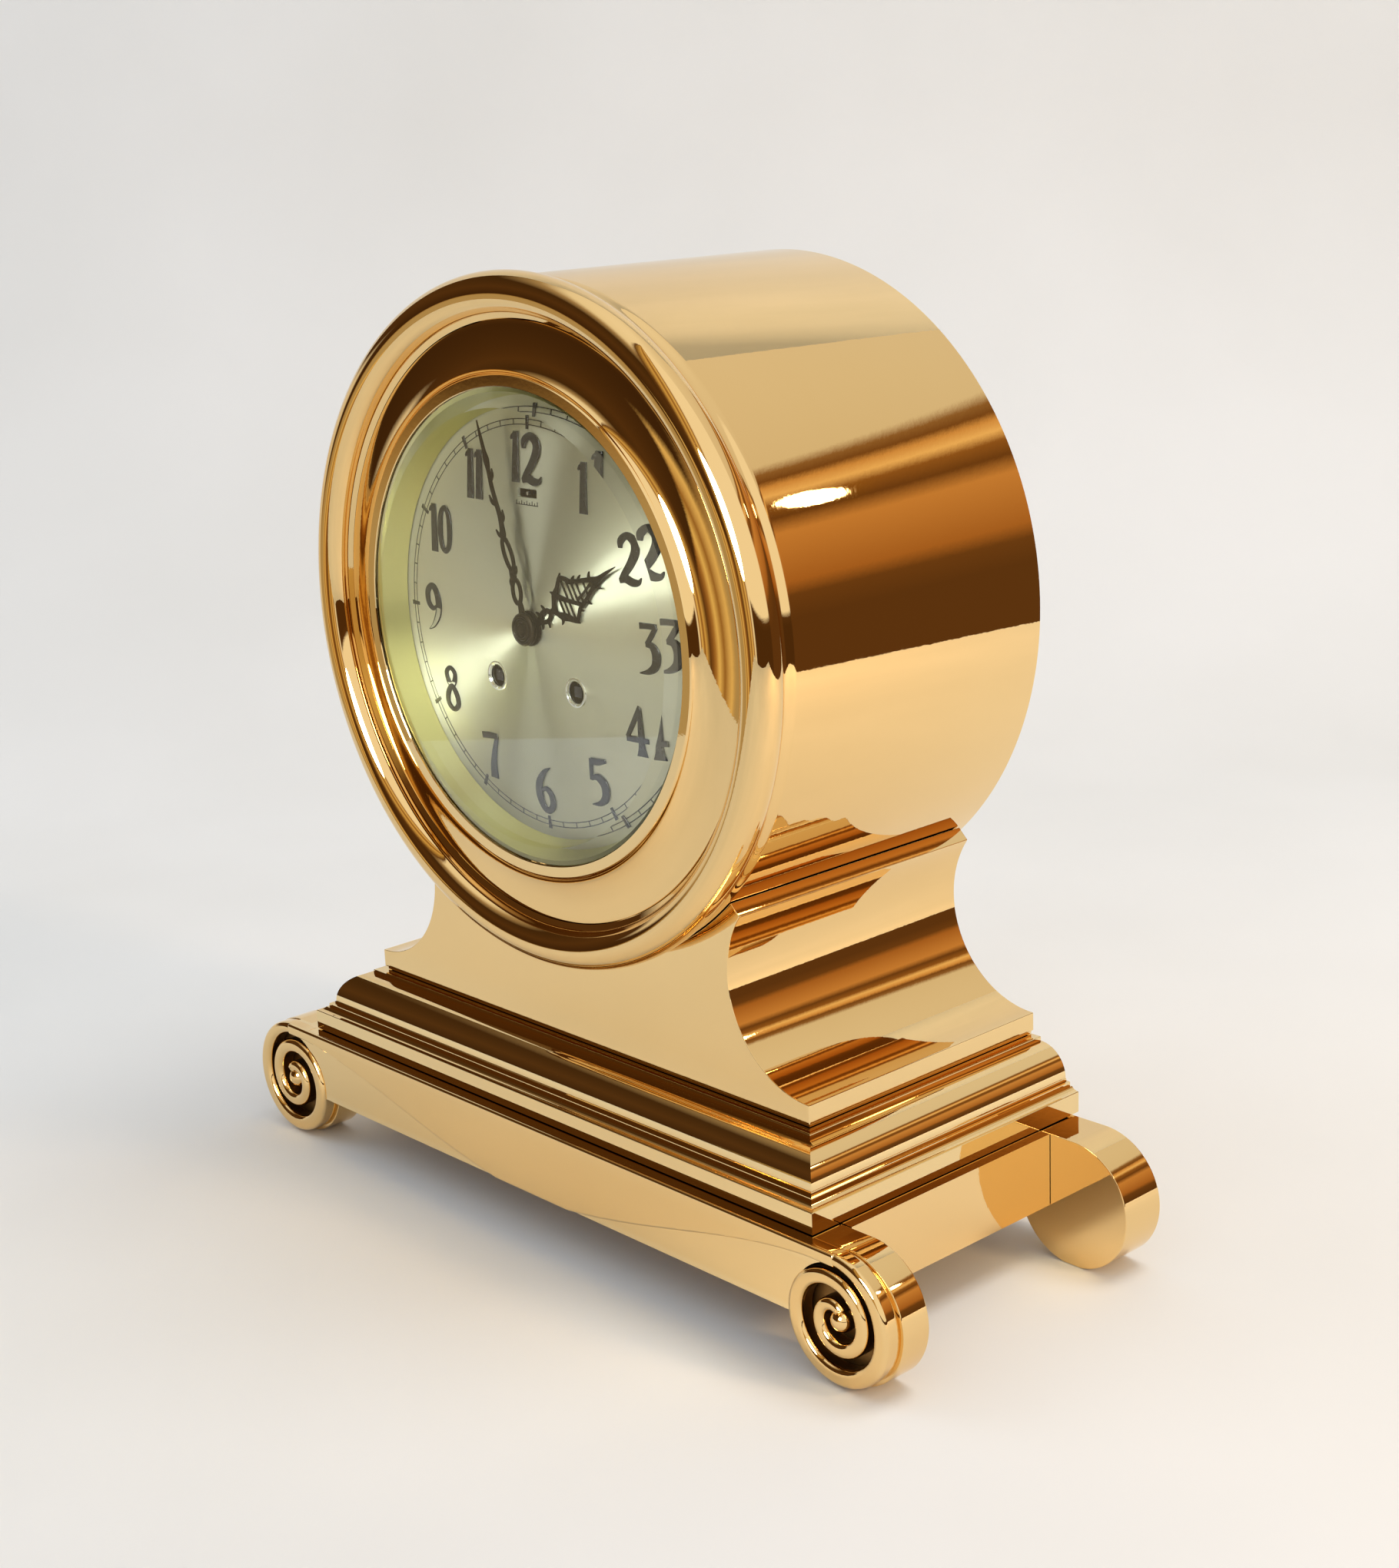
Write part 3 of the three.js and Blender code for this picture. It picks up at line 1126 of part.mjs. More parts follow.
// A winding arbor with its square end and its ratchet wheel
function windingArbor(at, side) {
  const ratchetFace = FRONT_PLATE_FACE - RATCHET_LEVEL - WHEEL_THICKNESS;
  const ratchet = outline(Array.from({ length: 2 * RATCHET_TEETH }, (_, i) => {
    const tooth = Math.floor(i / 2);
    const angle = (tooth * 2 * Math.PI) / RATCHET_TEETH;
    const radius = i % 2 === 0 ? RATCHET_RADIUS : RATCHET_RADIUS - 1.4;
    return [side * radius * Math.cos(angle), radius * Math.sin(angle)];
  }));
  const square = block(-squareHalf, squareHalf, windingSquareTip, ratchetFace, -squareHalf, squareHalf);
  const moved = [at.x, 0, AXIS_HEIGHT + at.y];
  return union([
    rod(at, WINDING_ARBOR_RADIUS, ratchetFace, BACK_PLATE_BACK - END_SHAKE, BEARING_SIDES),
    slice(ratchet, ratchetFace, ratchetFace + WHEEL_THICKNESS).translate(moved),
    square.translate(moved),
  ]);
}

add('time_winding_arbor', windingArbor(TIME_ARBOR, 1), 'steel');
add('strike_winding_arbor', windingArbor(STRIKE_ARBOR, -1), 'steel');

// A click on its stud, its nose just clear of the ratchet's teeth
function click(side) {
  const at = clickPlace(side);
  const ratchet = place(side * WINDING_OFFSET, -WINDING_DROP);
  const nose = polarFrom(ratchet, bearing(ratchet, at) - side * 0.5, RATCHET_RADIUS + 0.6);
  const heel = polarFrom(at, bearing(nose, at), studRadius + 1.6);
  const wide = 1.5;
  const across = polarFrom(place(0, 0), bearing(nose, at) + Math.PI / 2, wide);
  const y0 = clickStudTip + 0.2;
  const y1 = FRONT_PLATE_FACE - RATCHET_LEVEL;
  const lever = outline([[nose.x, nose.y], [at.x + across.x, at.y + across.y], [heel.x, heel.y],
    [at.x - across.x, at.y - across.y]]);
  const boss = rod(at, studRadius + 1.4, y0, y1, BEARING_SIDES);
  const body = slice(lever, y0, y1).translate([0, 0, AXIS_HEIGHT]).add(boss);
  return body.subtract(rod(at, studRadius + RUNNING_GAP, y0 - 1, y1 + 1));
}

add('time_click', click(1), 'steel');
add('strike_click', click(-1), 'steel');

const cannonEnd = MINUTE_HAND_FACE;
const centreArborTip = NUT_FACE + 0.3;
add('centre_wheel', union([
  rod(CENTRE, CENTRE_ARBOR_RADIUS, centreArborTip, BACK_PLATE_BACK - END_SHAKE, BEARING_SIDES),
  wheel(CENTRE, WHEEL_TEETH, CENTRE_MODULE, rackPhase, CENTRE_LEVEL, 3),
  pinion(CENTRE, PINION_LEAVES, BARREL_MODULE, centrePinionPhase, TIME_GREAT_LEVEL),
]), 'brass');
add('third_wheel', union([
  arbor(THIRD),
  wheel(THIRD, WHEEL_TEETH, THIRD_MODULE, rackPhase, THIRD_LEVEL, 3),
  pinion(THIRD, PINION_LEAVES, CENTRE_MODULE, thirdPinionPhase, CENTRE_LEVEL),
]), 'brass');
add('fourth_wheel', union([
  arbor(FOURTH),
  wheel(FOURTH, WHEEL_TEETH, FOURTH_MODULE, rackPhase, FOURTH_LEVEL, 3),
  pinion(FOURTH, PINION_LEAVES, THIRD_MODULE, fourthPinionPhase, THIRD_LEVEL),
]), 'brass');

// An escape wheel with raked pointed teeth
function escapeOutline() {
  return outline(Array.from({ length: 2 * ESCAPE_TEETH }, (_, i) => {
    const pitch = (2 * Math.PI) / ESCAPE_TEETH;
    const angle = Math.floor(i / 2) * pitch + (i % 2 === 0 ? 0 : pitch * 0.35);
    const radius = i % 2 === 0 ? ESCAPE_RADIUS : ESCAPE_RADIUS * 0.66;
    return [radius * Math.cos(angle), radius * Math.sin(angle)];
  }));
}

const palletFront = FRONT_PLATE_BACK + PALLET_LEVEL;
const palletBack = palletFront + 1.5;
add('escape_wheel', union([
  arbor(ESCAPE),
  slice(escapeOutline(), palletFront, palletBack).translate([ESCAPE.x, 0, AXIS_HEIGHT + ESCAPE.y]),
  pinion(ESCAPE, PINION_LEAVES, FOURTH_MODULE, escapePinionPhase, FOURTH_LEVEL),
]), 'steel');

// The pallet lever: an anchor round the escape wheel and a fork towards the balance
function palletLever() {
  const spread = degrees(42);
  const middle = bearing(ESCAPE, PALLET);
  const clear = ESCAPE_RADIUS + 0.75;
  const anchor = new THREE.Shape();
  anchor.absarc(0, 0, clear + 1.7, middle - spread, middle + spread, false);
  anchor.absarc(0, 0, clear, middle + spread, middle - spread, true);
  const reach = PALLET.distanceTo(BALANCE) - 3.4;
  const forkShape = outline([[0, -0.6], [reach, -0.6], [reach, 0.6], [0, 0.6]]);
  const forkTurn = THREE.MathUtils.radToDeg(bearing(PALLET, BALANCE));
  const fork = slice(forkShape, palletFront, palletBack).rotate([0, -forkTurn, 0]);
  return union([
    slice(anchor, palletFront, palletBack, 4).translate([ESCAPE.x, 0, AXIS_HEIGHT + ESCAPE.y]),
    fork.translate([PALLET.x, 0, AXIS_HEIGHT + PALLET.y]),
    arbor(PALLET, PALLET_ARBOR_RADIUS),
  ]);
}

add('pallet_lever', palletLever(), 'steel');

// Balance, hairspring, cock and regulator index

const balanceFront = FRONT_PLATE_BACK + BALANCE_LEVEL;
const balanceBack = balanceFront + WHEEL_THICKNESS;
const cockFront = FRONT_PLATE_BACK + COCK_LEVEL;
const cockBack = cockFront + 2;
const rollerRadius = 2.4;

function balanceWheel() {
  const disc = rod(BALANCE, BALANCE_RADIUS, balanceFront, balanceBack, SMALL_SIDES);
  const arms = crossings(BALANCE, 2, 2.4, BALANCE_RADIUS - 1.6, balanceFront, balanceBack);
  return union([
    cut(disc, arms),
    rod(BALANCE, BALANCE_STAFF_RADIUS, FRONT_PLATE_BACK - 1.4, cockBack - 0.4),
    rod(BALANCE, rollerRadius, palletFront, palletBack, BEARING_SIDES),
  ]);
}

add('balance_wheel', balanceWheel(), 'brass');

const springFront = FRONT_PLATE_BACK + HAIRSPRING_LEVEL;
const springHeight = 1;
const springStrip = 0.35;

// A flat spiral whose outer end is held by a stud on the front plate
function hairspring() {
  const steps = 8 * HAIRSPRING_TURNS;
  const spiral = (offset) => Array.from({ length: steps + 1 }, (_, i) => {
    const share = i / steps;
    const angle = share * HAIRSPRING_TURNS * 2 * Math.PI;
    const radius = HAIRSPRING_INNER + (HAIRSPRING_OUTER - HAIRSPRING_INNER) * share + offset;
    return [radius * Math.cos(angle), radius * Math.sin(angle)];
  });
  const strip = outline([...spiral(springStrip / 2), ...spiral(-springStrip / 2).reverse()]);
  const stud = polarFrom(BALANCE, 0, HAIRSPRING_OUTER);
  const body = slice(strip, springFront, springFront + springHeight);
  return body.translate([BALANCE.x, 0, AXIS_HEIGHT + BALANCE.y])
    .add(rod(stud, 0.7, FRONT_PLATE_BACK + GAP, springFront + springHeight));
}

add('hairspring', hairspring(), 'steel');

function balanceCock() {
  const arm = outline([
    [COCK_FOOT.x - 2.4, COCK_FOOT.y - 1.6],
    [BALANCE.x - 1.5, BALANCE.y - 2.4],
    [BALANCE.x + 2.4, BALANCE.y - 1.5],
    [BALANCE.x + 1.5, BALANCE.y + 2.4],
    [COCK_FOOT.x + 2.4, COCK_FOOT.y + 2.4],
  ]);
  const body = union([
    slice(arm, cockFront, cockBack).translate([0, 0, AXIS_HEIGHT]),
    rod(COCK_FOOT, 3, FRONT_PLATE_BACK + GAP, cockBack, BEARING_SIDES),
  ]);
  return body.subtract(rod(BALANCE, BALANCE_STAFF_RADIUS + RUNNING_GAP, cockFront - 1, cockBack + 1));
}

add('balance_cock', balanceCock(), 'brass');

// The regulator's index: a lever about the balance staff, its finger bent forward through the dial's slot
function regulatorIndex() {
  const y0 = FRONT_PLATE_BACK + GAP;
  const y1 = y0 + 1.1;
  const tip = INDEX_LENGTH + 0.7;
  const arm = outline([[-0.9, 2.4], [0.9, 2.4], [0.7, tip], [-0.7, tip]]);
  const fingerTip = dialFace(INDEX_TIP.y) + 0.2;
  const body = union([
    rod(BALANCE, indexBossRadius + 1.6, y0, y1, BEARING_SIDES),
    slice(arm, y0, y1).translate([0, 0, AXIS_HEIGHT + BALANCE.y]),
    rod(INDEX_TIP, 0.7, fingerTip, y1),
  ]);
  return body.subtract(rod(BALANCE, indexBossRadius + RUNNING_GAP, y0 - 1, y1 + 1, BEARING_SIDES));
}

add('regulator_index', regulatorIndex(), 'steel');

// Motion work

// The front and back planes of a wheel ahead of the front plate
function motionPlanes(level) {
  return [FRONT_PLATE_FACE - level - WHEEL_THICKNESS, FRONT_PLATE_FACE - level];
}

const minuteLevel = motionPlanes(MINUTE_WHEEL_LEVEL);
const hourLevel = motionPlanes(HOUR_WHEEL_LEVEL);
const cannonPhase = 0;
const studAngle = bearing(CENTRE, MINUTE_STUD);
const minuteWheelPhase = meshPhase(cannonPhase, CANNON_TEETH, MINUTE_WHEEL_TEETH, studAngle);
const hourWheelPhase = meshPhase(cannonPhase, MINUTE_PINION_TEETH, HOUR_WHEEL_TEETH, studAngle + Math.PI);
const cannonBore = CENTRE_ARBOR_RADIUS + 0.15;
const hourBore = CANNON_PIPE_RADIUS + RUNNING_GAP;
const hourPipeTip = HOUR_HAND_BACK - HAND_THICKNESS;

add('cannon_pinion', union([
  gear(CENTRE, CANNON_TEETH, MOTION_MODULE, cannonPhase, ...minuteLevel),
  rod(CENTRE, CANNON_PIPE_RADIUS, cannonEnd, minuteLevel[1], PIPE_SIDES),
]).subtract(rod(CENTRE, cannonBore, cannonEnd - 1, minuteLevel[1] + 1, BEARING_SIDES)), 'steel');

add('minute_wheel', union([
  gear(MINUTE_STUD, MINUTE_WHEEL_TEETH, MOTION_MODULE, minuteWheelPhase, ...minuteLevel),
  gear(MINUTE_STUD, MINUTE_PINION_TEETH, HOUR_MODULE, cannonPhase, hourLevel[0], minuteLevel[0] + 0.5),
]).subtract(rod(MINUTE_STUD, studRadius + RUNNING_GAP, hourLevel[0] - 1, minuteLevel[1] + 1)), 'brass');

add('hour_wheel', union([
  gear(CENTRE, HOUR_WHEEL_TEETH, HOUR_MODULE, hourWheelPhase, ...hourLevel),
  rod(CENTRE, HOUR_PIPE_RADIUS, hourPipeTip, hourLevel[1], PIPE_SIDES),
]).subtract(rod(CENTRE, hourBore, hourPipeTip - 1, hourLevel[1] + 1, PIPE_SIDES)), 'brass');

// Striking train

function pinWheel() {
  const y0 = FRONT_PLATE_BACK + PIN_LEVEL;
  const pins = Array.from({ length: HAMMER_PIN_COUNT }, (_, i) => {
    const at = polarFrom(STRIKE_PIN, (i * 2 * Math.PI) / HAMMER_PIN_COUNT, HAMMER_PIN_CIRCLE);
    return rod(at, 0.8, y0 + 1, y0 + WHEEL_THICKNESS + 1.1, PIN_SIDES);
  });
  return union([
    arbor(STRIKE_PIN),
    wheel(STRIKE_PIN, WHEEL_TEETH, PIN_WHEEL_MODULE, rackPhase, PIN_LEVEL, 0),
    pinion(STRIKE_PIN, PINION_LEAVES, BARREL_MODULE, pinPinionPhase, STRIKE_GREAT_LEVEL),
    ...pins,
  ]);
}

add('pin_wheel', pinWheel(), 'brass');
add('warning_wheel', union([
  arbor(WARNING),
  wheel(WARNING, WARNING_TEETH, WARNING_MODULE, rackPhase, WARNING_LEVEL, 3),
  pinion(WARNING, PINION_LEAVES, PIN_WHEEL_MODULE, warningPinionPhase, PIN_LEVEL),
]), 'brass');

const vaneFront = FRONT_PLATE_BACK + FLY_LEVEL;
const vaneHalf = FLY_THICKNESS / 2;
const vane = block(-FLY_HALF_WIDTH, FLY_HALF_WIDTH, vaneFront, vaneFront + FLY_LENGTH, -vaneHalf, vaneHalf);
add('fly', union([
  arbor(FLY),
  pinion(FLY, PINION_LEAVES, WARNING_MODULE, flyPinionPhase, WARNING_LEVEL),
  vane.translate([FLY.x, 0, AXIS_HEIGHT + FLY.y]),
]), 'brass');

// Bell, bell post and hammer

const bellMouth = BACK_PLATE_BACK + BELL_STAND_OFF;
const bellCrown = bellMouth + BELL_DEPTH;
const bellHeadTop = bellCrown + GAP + 3;

// A cup bell with its mouth towards the movement
function bell() {
  const steps = 3;
  const cup = (radius, depth) => Array.from({ length: steps + 1 }, (_, i) => {
    const angle = (i / steps) * degrees(84);
    return [radius * Math.cos(angle), bellMouth + depth * Math.sin(angle)];
  });
  const outer = cup(BELL_RADIUS, BELL_DEPTH);
  const inner = cup(BELL_RADIUS - BELL_WALL, BELL_DEPTH - BELL_WALL).reverse();
  const bore = bellTenon + GAP;
  const profile = [...outer, [bore, bellCrown], [bore, bellCrown - BELL_WALL], ...inner, outer[0]];
  return turned(profile, SMALL_SIDES, BELL_CENTRE);
}

add('bell', bell(), 'bellMetal');
// A shouldered screw: its tip in the back plate, the bell between its shoulder and its head
add('bell_post', union([
  rod(BELL_CENTRE, BELL_POST_RADIUS, BACK_PLATE_BACK + GAP, bellCrown - BELL_WALL - GAP, BEARING_SIDES),
  rod(BELL_CENTRE, bellTenon, BACK_PLATE_FACE + END_SHAKE, bellHeadTop, BEARING_SIDES),
  rod(BELL_CENTRE, BELL_POST_RADIUS + 2.5, bellCrown + GAP, bellHeadTop, BEARING_SIDES),
]), 'steel');

// A hammer on its stud, its head just off the rim of the bell
function hammer() {
  const y0 = BACK_PLATE_BACK + 1.6;
  const y1 = hammerStudTip - END_SHAKE;
  const head = HAMMER_HEAD;
  const angle = bearing(HAMMER_PIVOT, head);
  const across = polarFrom(place(0, 0), angle + Math.PI / 2, 1.6);
  const arm = outline([
    [HAMMER_PIVOT.x + across.x, HAMMER_PIVOT.y + across.y],
    [HAMMER_PIVOT.x - across.x, HAMMER_PIVOT.y - across.y],
    [head.x - across.x, head.y - across.y],
    [head.x + across.x, head.y + across.y],
  ]);
  const body = union([
    slice(arm, y0, y1).translate([0, 0, AXIS_HEIGHT]),
    rod(HAMMER_PIVOT, studRadius + 2, y0, y1, BEARING_SIDES),
    rod(head, HAMMER_HEAD_RADIUS, y0, bellMouth + 9, SMALL_SIDES),
  ]);
  return body.subtract(rod(HAMMER_PIVOT, studRadius + RUNNING_GAP, y0 - 1, y1 + 1));
}

add('hammer', hammer(), 'steel');

export default group;
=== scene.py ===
"""Dressed model of a ship's bell mantel clock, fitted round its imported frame.

Sizes are in millimetres of the clock's own frame: +X to the right, +Y to the back and
+Z up, with the origin on the floor under the middle of the clock.
"""
import json
import logging
import math
from dataclasses import dataclass
from enum import Enum
from typing import Dict, List, Optional, Sequence, Tuple

import bpy
from mathutils import Matrix, Vector


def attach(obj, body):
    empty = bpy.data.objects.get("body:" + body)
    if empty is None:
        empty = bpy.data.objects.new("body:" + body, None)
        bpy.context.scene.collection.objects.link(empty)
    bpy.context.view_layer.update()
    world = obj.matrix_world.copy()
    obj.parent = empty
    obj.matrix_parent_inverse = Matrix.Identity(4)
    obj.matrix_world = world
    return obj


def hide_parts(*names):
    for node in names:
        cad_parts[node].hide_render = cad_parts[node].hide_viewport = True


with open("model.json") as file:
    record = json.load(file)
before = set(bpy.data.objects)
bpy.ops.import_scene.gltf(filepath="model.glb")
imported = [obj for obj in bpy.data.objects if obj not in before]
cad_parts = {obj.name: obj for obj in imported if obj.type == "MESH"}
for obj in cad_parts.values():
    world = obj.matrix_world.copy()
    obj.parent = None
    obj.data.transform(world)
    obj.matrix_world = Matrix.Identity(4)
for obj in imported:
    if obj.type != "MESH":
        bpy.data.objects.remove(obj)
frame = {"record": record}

log = logging.getLogger("ships_bell_clock")

MM = 0.001
AXIS_Z = 244.8
TRACE_MERGE = 1e-7
SOLID_MERGE = 2e-7
LEAST_EXTRUDE = 0.01
HOLE_CORNERS = 48

Flat = Tuple[float, float]
Point = Tuple[float, float, float]
Stroke = Sequence[Tuple[float, float, float]]
Drawn = Tuple[Stroke, bool]
Colour = Tuple[float, float, float]
Stops = Sequence[Tuple[float, Colour]]
Inputs = Dict[object, object]
Piece = bpy.types.Object
Material = bpy.types.Material
Socket = bpy.types.NodeSocket


class Side(Enum):
    """Left and right hand of the clock, seen from the front."""

    LEFT = -1
    RIGHT = 1

    @property
    def label(self) -> str:
        """The side's name in small letters."""
        return self.name.lower()


class Body(Enum):
    """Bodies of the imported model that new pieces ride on."""

    CASE = "case"
    BEZEL = "bezel"
    MINUTE = "minute_hand_body"
    HOUR = "hour_hand_body"


class Slot(Enum):
    """Finishes that the record names."""

    POLISHED_BRASS = "polished_brass"
    SATIN_BRASS = "satin_brass"
    SILVERED_DIAL = "silvered_dial"
    DARK_HANDS = "dark_hands"
    STEEL = "steel"
    MOVEMENT_BRASS = "movement_brass"
    BELL_METAL = "bell_metal"
    CLEAR_GLASS = "clear_glass"


def arc(centre: Flat, radius: float, start: float, end: float, steps: int) -> List[Flat]:
    """Points along an arc.

    Args:
        centre: middle of the circle.
        radius: its radius.
        start: first angle in degrees.
        end: last angle in degrees.
        steps: number of chords.

    Returns:
        The points, both ends among them.
    """
    turns = [math.radians(start + (end - start) * i / steps) for i in range(steps + 1)]
    return [(centre[0] + radius * math.cos(a), centre[1] + radius * math.sin(a)) for a in turns]


def circle(centre: Flat, radius: float, count: int) -> List[Flat]:
    """Corners spaced evenly round a circle."""
    return arc(centre, radius, 0, 360 - 360 / count, count - 1)


def rectangle(left: float, right: float, low: float, high: float) -> List[Flat]:
    """Corners of an upright rectangle."""
    return [(left, low), (right, low), (right, high), (left, high)]


def on_face(across: float, out: float, angle: float) -> Flat:
    """Place on the clock's face, given from a line that leaves the axis.

    Args:
        across: distance to the right of the line.
        out: distance along the line from the axis.
        angle: the line's angle in degrees clockwise from twelve.

    Returns:
        The place as (x, z).
    """
    turn = math.radians(angle)
    return (out * math.sin(turn) + across * math.cos(turn),
            AXIS_Z + out * math.cos(turn) - across * math.sin(turn))


def bezier(a: Flat, b: Flat, c: Flat, d: Flat, steps: int) -> List[Flat]:
    """Points along a cubic curve.

    Args:
        a: start.
        b: first handle.
        c: second handle.
        d: end.
        steps: number of chords.

    Returns:
        The points, both ends among them.
    """
    points = []
    for i in range(steps + 1):
        t = i / steps
        s = 1 - t
        weights = (s * s * s, 3 * s * s * t, 3 * s * t * t, t * t * t)
        points.append(tuple(sum(w * p[k] for w, p in zip(weights, (a, b, c, d))) for k in (0, 1)))
    return points


def flowing(points: Stroke, steps: int, closed: bool = False) -> List[Tuple[float, ...]]:
    """Smooth line through given points.

    Args:
        points: places with any number of values each.
        steps: chords between two places.
        closed: whether the line returns to its start.

    Returns:
        The smooth line's points.
    """
    count = len(points)
    spans = count if closed else count - 1
    line = []
    for i in range(spans):
        if closed:
            p = [points[(i + k - 1) % count] for k in range(4)]
        else:
            p = [points[min(max(i + k - 1, 0), count - 1)] for k in range(4)]
        for j in range(steps):
            t = j / steps
            line.append(tuple(
                0.5 * (2 * b + (c - a) * t + (2 * a - 5 * b + 4 * c - d) * t * t
                       + (3 * b - a - 3 * c + d) * t * t * t)
                for a, b, c, d in zip(*p)))
    if not closed:
        line.append(tuple(points[-1]))
    return line


def ribbon(points: Stroke, steps: int = 8, closed: bool = False) -> List[List[Flat]]:
    """Outline of a brush stroke whose width changes along it.

    Args:
        points: (across, along, half width) places.
        steps: chords between two places.
        closed: whether the stroke is a ring.

    Returns:
        One outline, or an outer and an inner one for a ring.
    """
    line = flowing(points, steps, closed)
    last = len(line) - 1
    left, right = [], []
    for i, (x, z, half) in enumerate(line):
        before = line[i - 1] if closed or i else line[0]
        after = line[(i + 1) % len(line)] if closed or i < last else line[last]
        dx, dz = after[0] - before[0], after[1] - before[1]
        size = math.hypot(dx, dz) or 1.0
        left.append((x - dz / size * half, z + dx / size * half))
        right.append((x + dz / size * half, z - dx / size * half))
    return [left, right] if closed else [left + right[::-1]]


class Bench:
    """Hand moves that shape a piece, with all places in millimetres."""

    @staticmethod
    def clear() -> None:
        """Leave edit mode and deselect everything."""
        if bpy.context.object is not None and bpy.context.object.mode != "OBJECT":
            bpy.ops.object.mode_set(mode="OBJECT")
        bpy.ops.object.select_all(action="DESELECT")

    @staticmethod
    def pick(*pieces: Piece) -> None:
        """Select pieces, the first one active.

        Args:
            pieces: what is selected.
        """
        Bench.clear()
        for piece in pieces:
            piece.select_set(True)
        bpy.context.view_layer.objects.active = pieces[0]

    @staticmethod
    def trace(name: str, points: Sequence[Point], closed: bool = True) -> Piece:
        """Draw a line of edges point by point, and stay in edit mode.

        Args:
            name: the piece's name.
            points: corners of the line.
            closed: whether the last point joins the first.

        Returns:
            The new piece.
        """
        Bench.clear()
        bpy.ops.mesh.primitive_plane_add(size=MM)
        piece = bpy.context.object
        piece.name = name
        bpy.ops.object.mode_set(mode="EDIT")
        bpy.ops.mesh.merge(type="CENTER")
        bpy.ops.transform.translate(value=[v * MM for v in points[0]])
        path = list(points) + ([points[0]] if closed else [])
        for a, b in zip(path, path[1:]):
            step = [(q - p) * MM for p, q in zip(a, b)]
            bpy.ops.mesh.extrude_vertices_move(TRANSFORM_OT_translate={"value": step})
        bpy.ops.mesh.select_all(action="SELECT")
        bpy.ops.mesh.remove_doubles(threshold=TRACE_MERGE)
        return piece

    @staticmethod
    def close() -> None:
        """Merge doubles, turn all faces outwards and leave edit mode."""
        bpy.ops.mesh.select_all(action="SELECT")
        bpy.ops.mesh.remove_doubles(threshold=SOLID_MERGE)
        bpy.ops.mesh.normals_make_consistent(inside=False)
        bpy.ops.object.mode_set(mode="OBJECT")

    @staticmethod
    def turned(name: str, profile: Sequence[Flat], steps: int, closed: bool = True,
               at: Flat = (0.0, AXIS_Z)) -> Piece:
        """Turn a profile round an axis that runs from front to back.

        Args:
            name: the piece's name.
            profile: (radius, y) corners.
            steps: number of facets round the axis.
            closed: whether the profile returns to its start.
            at: (x, z) of the axis.

        Returns:
            The turned piece.
        """
        Bench.trace(name, [(at[0] + r, y, at[1]) for r, y in profile], closed)
        piece = bpy.context.object
        bpy.ops.mesh.spin(steps=steps, angle=2 * math.pi, axis=(0, 1, 0),
                          center=(at[0] * MM, 0, at[1] * MM))
        Bench.close()
        return piece

    @staticmethod
    def prism(name: str, outline: Sequence[Flat], front: float, back: float) -> Piece:
        """Fill an outline in the front view and draw it out to the back.

        Args:
            name: the piece's name.
            outline: (x, z) corners.
            front: y of the front face.
            back: y of the back face.

        Returns:
            The solid.
        """
        piece = Bench.trace(name, [(x, front, z) for x, z in outline])
        bpy.ops.mesh.edge_face_add()
        bpy.ops.mesh.extrude_region_move(
            TRANSFORM_OT_translate={"value": (0, (back - front) * MM, 0)})
        Bench.close()
        return piece

    @staticmethod
    def modify(piece: Piece, kind: str, **settings: object) -> None:
        """Add a modifier and apply it.

        Args:
            piece: what is modified.
            kind: the modifier's type.
            settings: the modifier's own settings.
        """
        Bench.pick(piece)
        step = piece.modifiers.new(kind.lower(), kind)
        for name, value in settings.items():
            setattr(step, name, value)
        bpy.ops.object.modifier_apply(modifier=step.name)

    @staticmethod
    def ease(piece: Piece, width: float, segments: int = 2, angle: float = 28) -> None:
        """Round the sharp edges of a piece and keep its flats flat.

        Args:
            piece: what is rounded.
            width: width of the rounding.
            segments: facets across it.
            angle: edges sharper than this, in degrees, are rounded.
        """
        Bench.modify(piece, "BEVEL", width=width * MM, segments=segments, limit_method="ANGLE",
                     angle_limit=math.radians(angle), use_clamp_overlap=True,
                     miter_outer="MITER_ARC")

    @staticmethod
    def combine(piece: Piece, other: Piece, operation: str) -> None:
        """Cut another solid out of a piece or fuse it on, and discard it.

        Args:
            piece: what is changed.
            other: the solid that is used up.
            operation: how the two are combined.
        """
        Bench.modify(piece, "BOOLEAN", operation=operation, object=other, solver="EXACT")
        Bench.pick(other)
        bpy.ops.object.delete()

    @staticmethod
    def drill(piece: Piece, cutters: Sequence[Piece]) -> None:
        """Cut other solids out of a piece."""
        for cutter in cutters:
            Bench.combine(piece, cutter, "DIFFERENCE")

    @staticmethod
    def join(pieces: Sequence[Piece]) -> Piece:
        """Join pieces into the first one.

        Args:
            pieces: what is joined.

        Returns:
            The first piece, with all of the rest in it.
        """
        Bench.pick(*pieces)
        if len(pieces) > 1:
            bpy.ops.object.join()
        return pieces[0]

